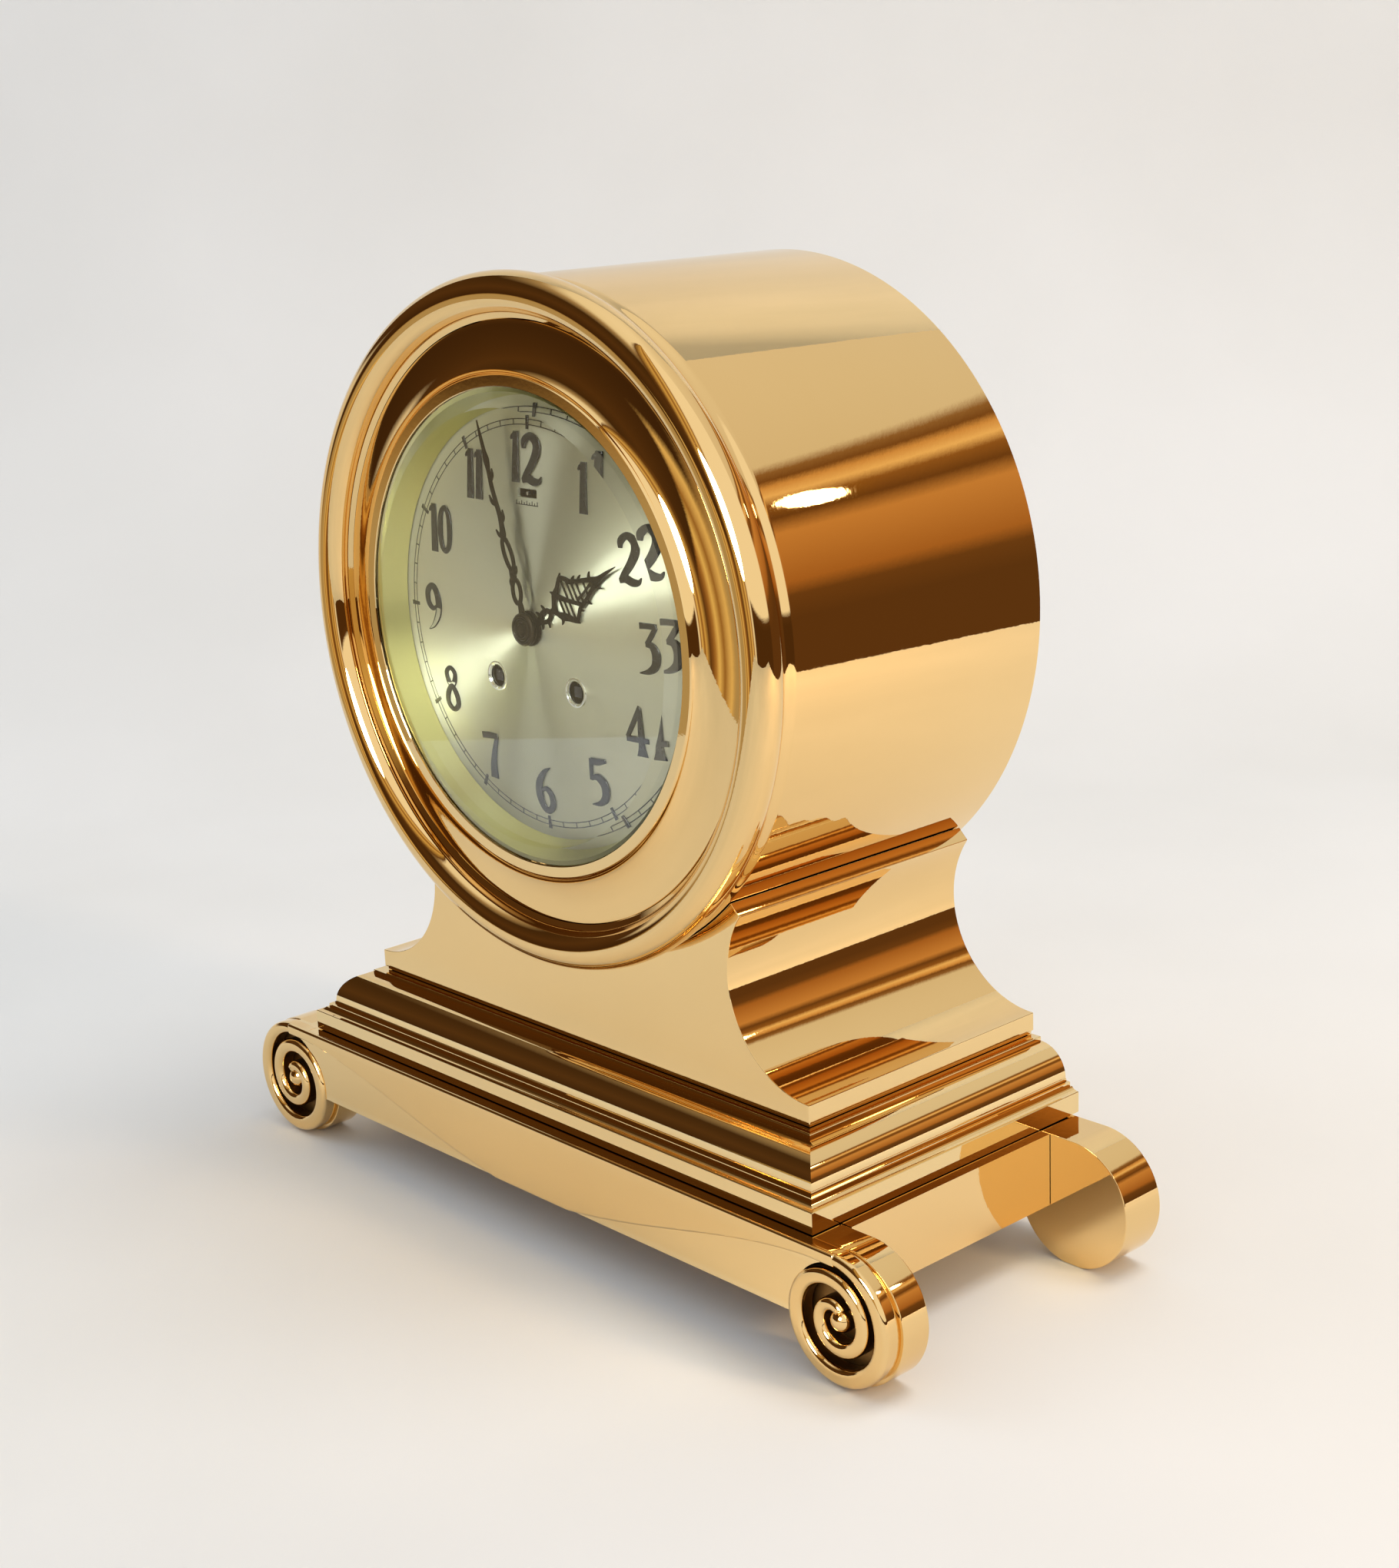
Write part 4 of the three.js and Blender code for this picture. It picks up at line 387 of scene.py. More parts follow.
    @staticmethod
    def sheet(name: str, loops: Sequence[Sequence[Flat]], back: float, thick: float,
              rounding: float, rows: int = 2) -> Piece:
        """Saw an outline with openings out of sheet metal, with rounded edges.

        Args:
            name: the piece's name.
            loops: outlines in the front view; a loop inside another is an opening.
            back: y of the back face.
            thick: thickness of the sheet.
            rounding: radius of the rounded edges.
            rows: rows of facets on a rounded edge.

        Returns:
            The sheet, as a mesh.
        """
        Bench.clear()
        bpy.ops.curve.primitive_bezier_circle_add(radius=MM)
        piece = bpy.context.object
        piece.name = name
        drawing = piece.data
        drawing.splines.clear()
        drawing.dimensions = "2D"
        drawing.fill_mode = "BOTH"
        drawing.extrude = max(thick / 2 - rounding, LEAST_EXTRUDE) * MM
        drawing.bevel_depth = rounding * MM
        drawing.bevel_resolution = rows
        drawing.offset = -rounding * MM
        for loop in loops:
            line = drawing.splines.new("POLY")
            line.points.add(len(loop) - 1)
            for point, (x, z) in zip(line.points, loop):
                point.co = (x * MM, z * MM, 0, 1)
            line.use_cyclic_u = True
        bpy.ops.object.convert(target="MESH")
        piece = bpy.context.object
        piece.rotation_euler = (math.pi / 2, 0, 0)
        piece.location = (0, (back - thick / 2) * MM, 0)
        bpy.ops.object.transform_apply(location=True, rotation=True, scale=True)
        return piece

    @staticmethod
    def hand_in(piece: Piece, name: str, body: Body, slot: Slot, finish: Material,
                replaces: Sequence[str] = (), angle: float = 30, flats: bool = False) -> None:
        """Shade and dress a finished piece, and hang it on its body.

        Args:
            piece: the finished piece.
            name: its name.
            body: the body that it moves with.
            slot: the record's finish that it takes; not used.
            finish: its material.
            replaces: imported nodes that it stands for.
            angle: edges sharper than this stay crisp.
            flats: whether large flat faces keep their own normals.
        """
        Bench.pick(piece)
        piece.name = name
        piece.data.name = name
        bpy.ops.object.shade_smooth_by_angle(angle=math.radians(angle))
        if flats:
            Bench.modify(piece, "WEIGHTED_NORMAL", keep_sharp=True, weight=100)
        piece.data.materials.clear()
        piece.data.materials.append(finish)
        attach(piece, body.value)
        if replaces:
            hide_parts(*replaces)
        log.info("%s: %d faces", name, len(piece.data.polygons))

    @staticmethod
    def dress(piece: Piece, node: str, body: Body, slot: Slot, angle: float, flats: bool = False) -> None:
        """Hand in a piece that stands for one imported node, in the finish of its slot.

        Args:
            piece: the finished piece.
            node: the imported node.
            body: the body that it moves with.
            slot: the record's finish that it takes.
            angle: edges sharper than this stay crisp.
            flats: whether large flat faces keep their own normals.
        """
        finish = Finishes.BY_SLOT[slot].make()
        Bench.hand_in(piece, f"{node}_dressed", body, slot, finish, [node], angle, flats)


class Nodes:
    """Short way to lay shader nodes in a tree."""

    def __init__(self, tree: bpy.types.NodeTree) -> None:
        """Keep the tree that nodes are laid in."""
        self.tree = tree

    def fill(self, node: bpy.types.Node, values: Inputs) -> None:
        """Set a node's inputs, or link those whose value is a socket.

        Args:
            node: the node.
            values: numbers, colours or sockets, by the input's name or place.
        """
        for key, value in values.items():
            if isinstance(value, bpy.types.NodeSocket):
                self.tree.links.new(value, node.inputs[key])
            else:
                node.inputs[key].default_value = value

    def add(self, kind: str, values: Optional[Inputs] = None, **settings: object) -> bpy.types.Node:
        """Lay one node.

        Args:
            kind: the node's type.
            values: what its inputs get.
            settings: the node's own settings.

        Returns:
            The node.
        """
        node = self.tree.nodes.new(kind)
        for name, value in settings.items():
            setattr(node, name, value)
        self.fill(node, values or {})
        return node

    def effect(self, group: bpy.types.NodeTree, values: Optional[Inputs] = None) -> Socket:
        """Lay a node group and give its output."""
        return self.add("ShaderNodeGroup", values, node_tree=group).outputs[0]

    def noise(self, values: Inputs, **settings: object) -> Socket:
        """Lay a noise texture and give its value."""
        return self.add("ShaderNodeTexNoise", values, **settings).outputs["Fac"]

    def number(self, operation: str, first: object, second: object = 0.0) -> Socket:
        """Work out a number from one or two others, given as sockets or values."""
        return self.add("ShaderNodeMath", {0: first, 1: second}, operation=operation).outputs[0]

    def parts(self, vector: Socket) -> Tuple[Socket, Socket, Socket]:
        """Split a vector into its three parts."""
        split = self.add("ShaderNodeSeparateXYZ", {"Vector": vector}).outputs
        return split["X"], split["Y"], split["Z"]

    def length(self, vector: Socket) -> Socket:
        """Measure a vector."""
        return self.add("ShaderNodeVectorMath", {0: vector}, operation="LENGTH").outputs["Value"]

    def span(self, source: Socket, ends: Flat) -> Socket:
        """Run from 0 to 1 while a value goes from one end to the other, and stay there."""
        values = {"Value": source, "From Min": ends[0], "From Max": ends[1]}
        return self.add("ShaderNodeMapRange", values).outputs["Result"]

    def blend(self, factor: Socket, under: object, over: object) -> Socket:
        """Lay one colour over another by a factor, both given as sockets or values."""
        values = {"Factor": factor, "A": under, "B": over}
        return self.add("ShaderNodeMix", values, data_type="RGBA").outputs["Result"]

    def ramp(self, source: Socket, stops: Stops) -> Socket:
        """Lay a colour ramp behind a socket.

        Args:
            source: value that runs along the ramp.
            stops: (place, colour) pairs.

        Returns:
            The colour's socket.
        """
        node = self.add("ShaderNodeValToRGB", {"Fac": source})
        bar = node.color_ramp.elements
        while len(bar) < len(stops):
            bar.new(1.0)
        for element, (place, colour) in zip(bar, stops):
            element.position = place
            element.color = (*colour, 1.0)
        return node.outputs["Color"]


class Effects:
    """Surface effects that several finishes share, as node groups."""

    NUMBER = "NodeSocketFloat"
    COLOUR = "NodeSocketColor"
    VECTOR = "NodeSocketVector"

    @staticmethod
    def group(name: str, inputs: Sequence[Tuple[str, str, object]],
              output: Tuple[str, str]) -> Tuple[bpy.types.NodeTree, Nodes, bool]:
        """Open a node group by name.

        Args:
            name: the group's name.
            inputs: (name, socket type, value) of each input.
            output: (name, socket type) of the output.

        Returns:
            The group, a layer of nodes for it, and whether it is new.
        """
        if name in bpy.data.node_groups:
            tree = bpy.data.node_groups[name]
            return tree, Nodes(tree), False
        tree = bpy.data.node_groups.new(name, "ShaderNodeTree")
        for label, kind, value in inputs:
            socket = tree.interface.new_socket(label, in_out="INPUT", socket_type=kind)
            socket.default_value = value
        label, kind = output
        tree.interface.new_socket(label, in_out="OUTPUT", socket_type=kind)
        return tree, Nodes(tree), True

    @staticmethod
    def haze() -> bpy.types.NodeTree:
        """Uneven polish: a roughness that drifts, with faint wiping marks.

        Returns:
            The node group, with one Roughness output.
        """
        tree, lay, new = Effects.group(
            "polish_haze",
            [("Low", Effects.NUMBER, 0.03), ("High", Effects.NUMBER, 0.09), ("Scale", Effects.NUMBER, 40.0)],
            ("Roughness", Effects.NUMBER))
        if not new:
            return tree
        start = lay.add("NodeGroupInput").outputs
        where = lay.add("ShaderNodeTexCoord").outputs["Object"]
        drift = lay.noise({"Vector": where, "Scale": start["Scale"], "Detail": 3.0, "Roughness": 0.55})
        stretch = lay.add("ShaderNodeMapping", {
            "Vector": where, "Scale": (3.0, 14.0, 3.0), "Rotation": (0.3, 0.2, 0.7)}).outputs["Vector"]
        wipes = lay.noise({"Vector": stretch, "Scale": 60.0, "Detail": 4.0})
        spread = lay.add("ShaderNodeMapRange", {
            "Value": lay.number("MULTIPLY", drift, wipes), "From Min": 0.12, "From Max": 0.42,
            "To Min": start["Low"], "To Max": start["High"]})
        lay.add("NodeGroupOutput", {"Roughness": spread.outputs["Result"]})
        return tree

    @staticmethod
    def tone() -> bpy.types.NodeTree:
        """Metal colour that drifts between two tones and is worn on outer edges.

        Returns:
            The node group, with one Color output.
        """
        tree, lay, new = Effects.group(
            "metal_tone",
            [("Light", Effects.COLOUR, (0.8, 0.6, 0.3, 1)), ("Deep", Effects.COLOUR, (0.7, 0.5, 0.2, 1)),
             ("Worn", Effects.COLOUR, (0.9, 0.7, 0.4, 1)), ("Scale", Effects.NUMBER, 12.0)],
            ("Color", Effects.COLOUR))
        if not new:
            return tree
        start = lay.add("NodeGroupInput").outputs
        where = lay.add("ShaderNodeTexCoord").outputs["Object"]
        cloud = lay.noise({"Vector": where, "Scale": start["Scale"], "Detail": 5.0, "Roughness": 0.6})
        drift = lay.blend(cloud, start["Light"], start["Deep"])
        edge = lay.add("ShaderNodeNewGeometry").outputs["Pointiness"]
        crest = lay.add("ShaderNodeMapRange", {
            "Value": edge, "From Min": 0.52, "From Max": 0.62, "To Max": 0.6}).outputs["Result"]
        lay.add("NodeGroupOutput", {"Color": lay.blend(crest, drift, start["Worn"])})
        return tree

    @staticmethod
    def grain() -> bpy.types.NodeTree:
        """Fine grain as a height, stretched along the marks of the last tool.

        Returns:
            The node group, with one Height output.
        """
        tree, lay, new = Effects.group(
            "tool_grain", [("Scale", Effects.NUMBER, 400.0), ("Stretch", Effects.VECTOR, (1, 1, 1))],
            ("Height", Effects.NUMBER))
        if not new:
            return tree
        start = lay.add("NodeGroupInput").outputs
        where = lay.add("ShaderNodeTexCoord").outputs["Object"]
        stretch = lay.add("ShaderNodeVectorMath", {0: where, 1: start["Stretch"]}, operation="MULTIPLY")
        noise = lay.noise({"Vector": stretch.outputs["Vector"], "Scale": start["Scale"], "Detail": 3.0,
                           "Roughness": 0.6})
        lay.add("NodeGroupOutput", {"Height": noise})
        return tree

    @staticmethod
    def rings() -> bpy.types.NodeTree:
        """Concentric turning marks round the clock's axis, as a height.

        Returns:
            The node group, with one Height output.
        """
        tree, lay, new = Effects.group(
            "turning_rings", [("Pitch", Effects.NUMBER, 3000.0)], ("Height", Effects.NUMBER))
        if not new:
            return tree
        start = lay.add("NodeGroupInput").outputs
        where = lay.add("ShaderNodeTexCoord").outputs["Object"]
        centre = lay.add("ShaderNodeMapping", {"Vector": where, "Location": (0, 0, -AXIS_Z * MM)})
        x, _, z = lay.parts(centre.outputs["Vector"])
        flat = lay.add("ShaderNodeCombineXYZ", {"X": x, "Y": z}).outputs["Vector"]
        fine = lay.noise({"W": lay.length(flat), "Scale": start["Pitch"], "Detail": 2.0},
                         noise_dimensions="1D")
        lay.add("NodeGroupOutput", {"Height": fine})
        return tree


@dataclass(frozen=True)
class Finish:
    """A finish whose material is built at its first use."""

    name: str

    def make(self) -> Material:
        """Find the finish's material, or build it.

        Returns:
            The material.
        """
        if self.name in bpy.data.materials:
            return bpy.data.materials[self.name]
        material = bpy.data.materials.new(self.name)
        material.use_nodes = True
        self.surface(Nodes(material.node_tree), material.node_tree.nodes["Principled BSDF"])
        return material

    def surface(self, lay: Nodes, shader: bpy.types.Node) -> None:
        """Lay the nodes of the finish; each kind of finish has its own way."""
        raise NotImplementedError


@dataclass(frozen=True)
class Metal(Finish):
    """A metal finish: drifting tone, uneven polish and a fine grain."""

    light: Colour
    deep: Colour
    worn: Colour
    polish: Flat
    tone_scale: float = 12.0
    grain_scale: float = 260.0
    grain_stretch: Point = (1.0, 1.0, 1.0)
    grain_depth: float = 0.4
    grain_strength: float = 0.02
    anisotropy: float = 0.0
    quarter_turn: float = 0.25
    rings: bool = False

    def surface(self, lay: Nodes, shader: bpy.types.Node) -> None:
        """Lay the nodes of the metal.

        Args:
            lay: the layer of nodes.
            shader: the surface that they feed.
        """
        tone = lay.effect(Effects.tone(), {
            "Light": (*self.light, 1.0), "Deep": (*self.deep, 1.0), "Worn": (*self.worn, 1.0),
            "Scale": self.tone_scale})
        haze = lay.effect(Effects.haze(), {"Low": self.polish[0], "High": self.polish[1]})
        if self.rings:
            marks = lay.effect(Effects.rings())
        else:
            marks = lay.effect(Effects.grain(), {"Scale": self.grain_scale, "Stretch": self.grain_stretch})
        bump = lay.add("ShaderNodeBump", {
            "Strength": self.grain_strength, "Distance": self.grain_depth * MM, "Height": marks})
        lay.fill(shader, {"Metallic": 1.0, "Anisotropic": self.anisotropy, "Base Color": tone,
                          "Roughness": haze, "Normal": bump.outputs["Normal"]})
        if self.anisotropy:
            around = lay.add("ShaderNodeTangent", direction_type="RADIAL", axis="Y")
            lay.fill(shader, {"Tangent": around.outputs["Tangent"],
                              "Anisotropic Rotation": self.quarter_turn})


@dataclass(frozen=True)
class Enamel(Finish):
    """Dark glossy paint with faint unevenness."""

    light: Colour
    deep: Colour
    polish: Flat
    gloss: float = 0.6
    tone_scale: float = 220.0
    grain_depth: float = 0.2
    grain_strength: float = 0.08

    def surface(self, lay: Nodes, shader: bpy.types.Node) -> None:
        """Lay the nodes of the paint.

        Args:
            lay: the layer of nodes.
            shader: the surface that they feed.
        """
        tone = lay.effect(Effects.tone(), {
            "Light": (*self.light, 1.0), "Deep": (*self.deep, 1.0), "Worn": (*self.light, 1.0),
            "Scale": self.tone_scale})
        haze = lay.effect(Effects.haze(), {"Low": self.polish[0], "High": self.polish[1]})
        bump = lay.add("ShaderNodeBump", {
            "Strength": self.grain_strength, "Distance": self.grain_depth * MM,
            "Height": lay.effect(Effects.grain())})
        lay.fill(shader, {"Specular IOR Level": self.gloss, "Base Color": tone, "Roughness": haze,
                          "Normal": bump.outputs["Normal"]})


@dataclass(frozen=True)
class Glass(Finish):
    """Clear plate glass with faint wiping marks."""

    tint: Colour = (0.97, 0.985, 0.975)
    refraction: float = 1.5
    polish: Flat = (0.0, 0.02)

    def surface(self, lay: Nodes, shader: bpy.types.Node) -> None:
        """Lay the nodes of the glass.

        Args:
            lay: the layer of nodes.
            shader: the surface that they feed.
        """
        haze = lay.effect(Effects.haze(), {"Low": self.polish[0], "High": self.polish[1]})
        lay.fill(shader, {"Base Color": (*self.tint, 1.0), "Transmission Weight": 1.0,
                          "IOR": self.refraction, "Roughness": haze})


@dataclass(frozen=True)
class Paper(Finish):
    """Pale matt paper with a faint tooth."""

    light: Colour = (0.86, 0.845, 0.81)
    deep: Colour = (0.80, 0.785, 0.745)
    roughness: float = 0.85
    gloss: float = 0.2

    def surface(self, lay: Nodes, shader: bpy.types.Node) -> None:
        """Lay the nodes of the paper.

        Args:
            lay: the layer of nodes.
            shader: the surface that they feed.
        """
        where = lay.add("ShaderNodeTexCoord").outputs["Object"]
        cloud = lay.noise({"Vector": where, "Scale": 3.0, "Detail": 3.0})
        tint = lay.ramp(cloud, [(0.3, self.deep), (0.7, self.light)])
        lay.fill(shader, {"Roughness": self.roughness, "Specular IOR Level": self.gloss, "Base Color": tint})


class Finishes:
    """The clock's finishes, and a dark brass that paints shade in the volute grooves: two tones, the tone of
    worn edges and the polish of each.
    """

    BRASS = Metal("mirror_brass", (0.89, 0.63, 0.295), (0.855, 0.59, 0.26), (0.94, 0.76, 0.43),
                  (0.01, 0.035))
    PANEL = Metal("panel_brass", (0.90, 0.575, 0.235), (0.865, 0.535, 0.205), (0.94, 0.72, 0.38),
                  (0.012, 0.04))
    # Painted shade: a dark, rough brass for the floors and walls of the volute grooves, which stands for the
    # shade and the dark reflections there.
    GROOVE = Metal("groove_shade_brass", (0.20, 0.105, 0.032), (0.13, 0.066, 0.02), (0.32, 0.18, 0.06),
                   (0.3, 0.42))
    SATIN = Metal("satin_brass_ring", (0.68, 0.64, 0.23), (0.63, 0.585, 0.20), (0.74, 0.70, 0.32),
                  (0.29, 0.32))
    SILVER = Metal("silvered_plate", (0.88, 0.87, 0.68), (0.82, 0.81, 0.62), (0.90, 0.89, 0.74),
                   (0.40, 0.46), tone_scale=25.0, grain_strength=0.05, anisotropy=1.0, rings=True)
    BRONZE = Metal("dark_bronze", (0.032, 0.026, 0.02), (0.018, 0.015, 0.012), (0.11, 0.08, 0.05),
                   (0.24, 0.38), tone_scale=120.0, grain_scale=900.0, grain_strength=0.08)
    RIM = Metal("bright_silver", (0.86, 0.86, 0.80), (0.78, 0.78, 0.72), (0.92, 0.92, 0.88), (0.12, 0.22))
    STEEL = Metal("ground_steel", (0.60, 0.60, 0.61), (0.50, 0.50, 0.52), (0.75, 0.75, 0.75), (0.2, 0.34),
                  grain_scale=700.0, grain_stretch=(1.0, 9.0, 1.0), grain_strength=0.12)
    TRAIN = Metal("movement_brass_grained", (0.78, 0.60, 0.27), (0.70, 0.52, 0.21), (0.88, 0.72, 0.40),
                  (0.22, 0.34), grain_scale=800.0, grain_stretch=(1.0, 1.0, 8.0), grain_strength=0.15)
    BELL = Metal("bell_metal_turned", (0.80, 0.63, 0.36), (0.70, 0.54, 0.28), (0.9, 0.76, 0.5),
                 (0.12, 0.22), grain_strength=0.1)
    BLUED = Metal("blued_steel", (0.05, 0.05, 0.06), (0.03, 0.03, 0.036), (0.14, 0.14, 0.16), (0.25, 0.4),
                  grain_scale=700.0, grain_strength=0.1)
    ENAMEL = Enamel("charcoal_enamel", (0.030, 0.029, 0.027), (0.014, 0.013, 0.012), (0.16, 0.3))
    GLASS = Glass("clear_plate_glass")
    PAPER = Paper("pale_paper")

    BY_SLOT = {
        Slot.POLISHED_BRASS: BRASS, Slot.SATIN_BRASS: SATIN, Slot.SILVERED_DIAL: SILVER,
        Slot.DARK_HANDS: BRONZE, Slot.STEEL: STEEL, Slot.MOVEMENT_BRASS: TRAIN,
        Slot.BELL_METAL: BELL, Slot.CLEAR_GLASS: GLASS,
    }
    BY_NODE = {"time_winding_arbor": BLUED, "strike_winding_arbor": BLUED,
               "left_side_panel": PANEL, "right_side_panel": PANEL}


@dataclass
class ScrollFrame:
    """The underframe's two scroll plates, rolled into volutes at their ends."""

    front: float = -78.05
    rear: float = 70.85
    thickness: float = 20.4
    volute_x: float = 165.4
    volute_z: float = 25.184
    volute_radius: float = 25.5
    foot_flat: float = 8.0
    top: float = 50.684
    top_dip: float = 0.12
    dip_reach: float = 15.0
    apron_rise: float = 21.6
    field_gap: float = 4.0
    field_dip: float = 0.06
    relief: float = 1.6
    band_width: float = 4.7
    band_start: float = 22.0
    band_handles: Tuple[Flat, Flat] = ((0.62, 0.9), (0.34, 0.24))
    band_rounding: float = 1.1
    floor_depth: float = 7.5
    bead_leads: Tuple[float, ...] = (14.0, 9.0, 4.5)
    bead_turns: Stroke = (
        (0.0, 23.1, 2.4), (0.12, 21.9, 3.0), (0.25, 20.9, 3.35), (0.5, 20.7, 3.4), (0.7, 20.6, 3.35),
        (0.82, 19.4, 3.2), (0.92, 17.0, 3.05), (1.0, 15.0, 3.0), (1.12, 12.9, 3.0), (1.25, 11.6, 3.0),
        (1.5, 10.3, 2.8), (1.75, 8.8, 2.6), (1.92, 6.6, 2.45), (2.05, 4.2, 2.35))
    bead_recess: float = 0.1
    bead_foot: float = 0.5
    bead_rounding: float = 2.2
    ball_radius: float = 4.6
    groove_shade: float = 3.5
    groove_reach: float = 22.5
    groove_margin: float = 0.5
    groove_rise: float = 0.1
    groove_sink: float = 0.5
    groove_limit: float = 0.2
    edge: float = 0.5
    overlap: float = 1.0

    def outline(self) -> List[Flat]:
        """Outline of a plate in the front view.

        Returns:
            (x, z) corners.
        """
        slope = math.degrees(math.asin((self.volute_z - self.apron_rise) / self.volute_radius))
        flat = math.degrees(math.asin(self.foot_flat / 2 / self.volute_radius))
        right = (self.volute_x, self.volute_z)
        left = (-self.volute_x, self.volute_z)
        r = self.volute_radius
        dip = self.top - self.top_dip
        dip_end = self.volute_x - self.dip_reach
        return (arc(right, r, 90, -90 + flat, 56) + arc(right, r, -90 - flat, slope - 180, 26)
                + arc(left, r, -slope, -90 + flat, 26) + arc(left, r, -90 - flat, -270, 56)
                + [(-dip_end, dip), (dip_end, dip)])

    def field(self) -> List[Flat]:
        """Outline of the apron between the volutes.

        Returns:
            (x, z) corners.
        """
        reach = self.volute_radius - self.field_gap
        dip = math.degrees(math.asin((self.volute_z - self.apron_rise) / reach))
        right = arc((self.volute_x, self.volute_z), reach, 90, 180 + dip, 24)
        half = [(self.volute_x, self.top - self.field_dip)] + right
        return half + [(-x, z) for x, z in reversed(half)]

    def band(self) -> List[Flat]:
        """Outline of the raised band, which fills the apron in the middle.

        Returns:
            (x, z) corners.
        """
        foot = self.top - self.band_width
        reach = self.volute_x - self.band_start
        rise = foot - self.apron_rise
        end = (self.volute_x - self.volute_radius / 2, foot)
        handles = [(self.band_start + reach * x, self.apron_rise + rise * z) for x, z in self.band_handles]
        edge = bezier(end, *handles, (self.band_start, self.apron_rise), 40)
        half = [(self.volute_x, self.top), (self.volute_x, foot)] + edge
        return half + [(-x, z) for x, z in reversed(half)]

    def spiral(self, side: Side) -> List[Piece]:
        """Bead of one volute: it leaves the band, winds in and ends in a ball.

        Args:
            side: which volute.

        Returns:
            The bead and its ball.
        """
        _, first_radius, first_half = self.bead_turns[0]
        path = [(side.value * (self.volute_x - lead), self.volute_z + first_radius, first_half)
                for lead in self.bead_leads]
        for turn, radius, half in flowing(self.bead_turns, 10):
            angle = math.pi / 2 - turn * 2 * math.pi
            x = side.value * (self.volute_x + radius * math.cos(angle))
            z = self.volute_z + radius * math.sin(angle)
            path.append((x, z, half))
        height = self.floor_depth + self.bead_foot
        bead = Bench.sheet(f"spiral_{side.label}", ribbon(path, 1), self.front + height,
                           height - self.bead_recess, self.bead_rounding, 5)
        profile = arc((0.0, self.front + self.ball_radius), self.ball_radius, -90, 60, 14)
        ball = Bench.turned(f"eye_{side.label}", profile, 32, False,
                            (side.value * self.volute_x, self.volute_z))
        return [bead, ball]

    def groove_floor(self, side: Side) -> Piece:
        """A dark disc on the floor of one volute's groove, which carries the painted shade there.

        Args:
            side: which volute.

        Returns:
            The disc.
        """
        middle = (side.value * self.volute_x, self.volute_z)
        rim = circle(middle, self.groove_reach - self.groove_margin, HOLE_CORNERS)
        floor = self.front + self.floor_depth
        return Bench.prism(f"groove_floor_{side.label}", rim, floor - self.groove_rise,
                           floor + self.groove_sink)

    def tarnish(self, plate: Piece) -> None:
        """Paint shade into the grooves of the volutes: faces deep in them take a dark, rough brass.

        Args:
            plate: the dressed front plate.
        """
        # Painted shade: faces deep in the grooves, walls and floor alike, take the dark groove brass.
        plate.data.materials.append(Finishes.GROOVE.make())
        lowest = self.front + self.floor_depth + self.groove_limit
        for face in plate.data.polygons:
            x, y, z = (v / MM for v in face.center)
            off = math.hypot(abs(x) - self.volute_x, z - self.volute_z)
            if self.front + self.groove_shade < y < lowest and off < self.groove_reach:
                face.material_index = 1

    def build(self) -> None:
        """Build and dress both plates."""
        back = self.front + self.thickness
        field_front = self.front + self.relief
        body = Bench.prism("front_scroll_plate_dressed", self.outline(), self.front + self.floor_depth, back)
        Bench.ease(body, self.edge)
        field = Bench.prism("apron_field", self.field(), field_front, back - self.overlap)
        band = Bench.prism("apron_band", self.band(), self.front, field_front + self.overlap)
        Bench.ease(band, self.band_rounding, 3)
        parts = [body, field, band]
        for side in Side:
            parts += self.spiral(side)
            # A disc on each groove floor carries painted shade.
            parts.append(self.groove_floor(side))
        plate = Bench.join(parts)
        Bench.dress(plate, "front_scroll_plate", Body.CASE, Slot.POLISHED_BRASS, 30, True)
        # Paint shade on the faces deep in the volute grooves.
        self.tarnish(plate)
        rear = Bench.prism("rear_scroll_plate_dressed", self.outline(), self.rear - self.thickness, self.rear)
        Bench.ease(rear, self.edge)
        Bench.dress(rear, "rear_scroll_plate", Body.CASE, Slot.POLISHED_BRASS, 30, True)


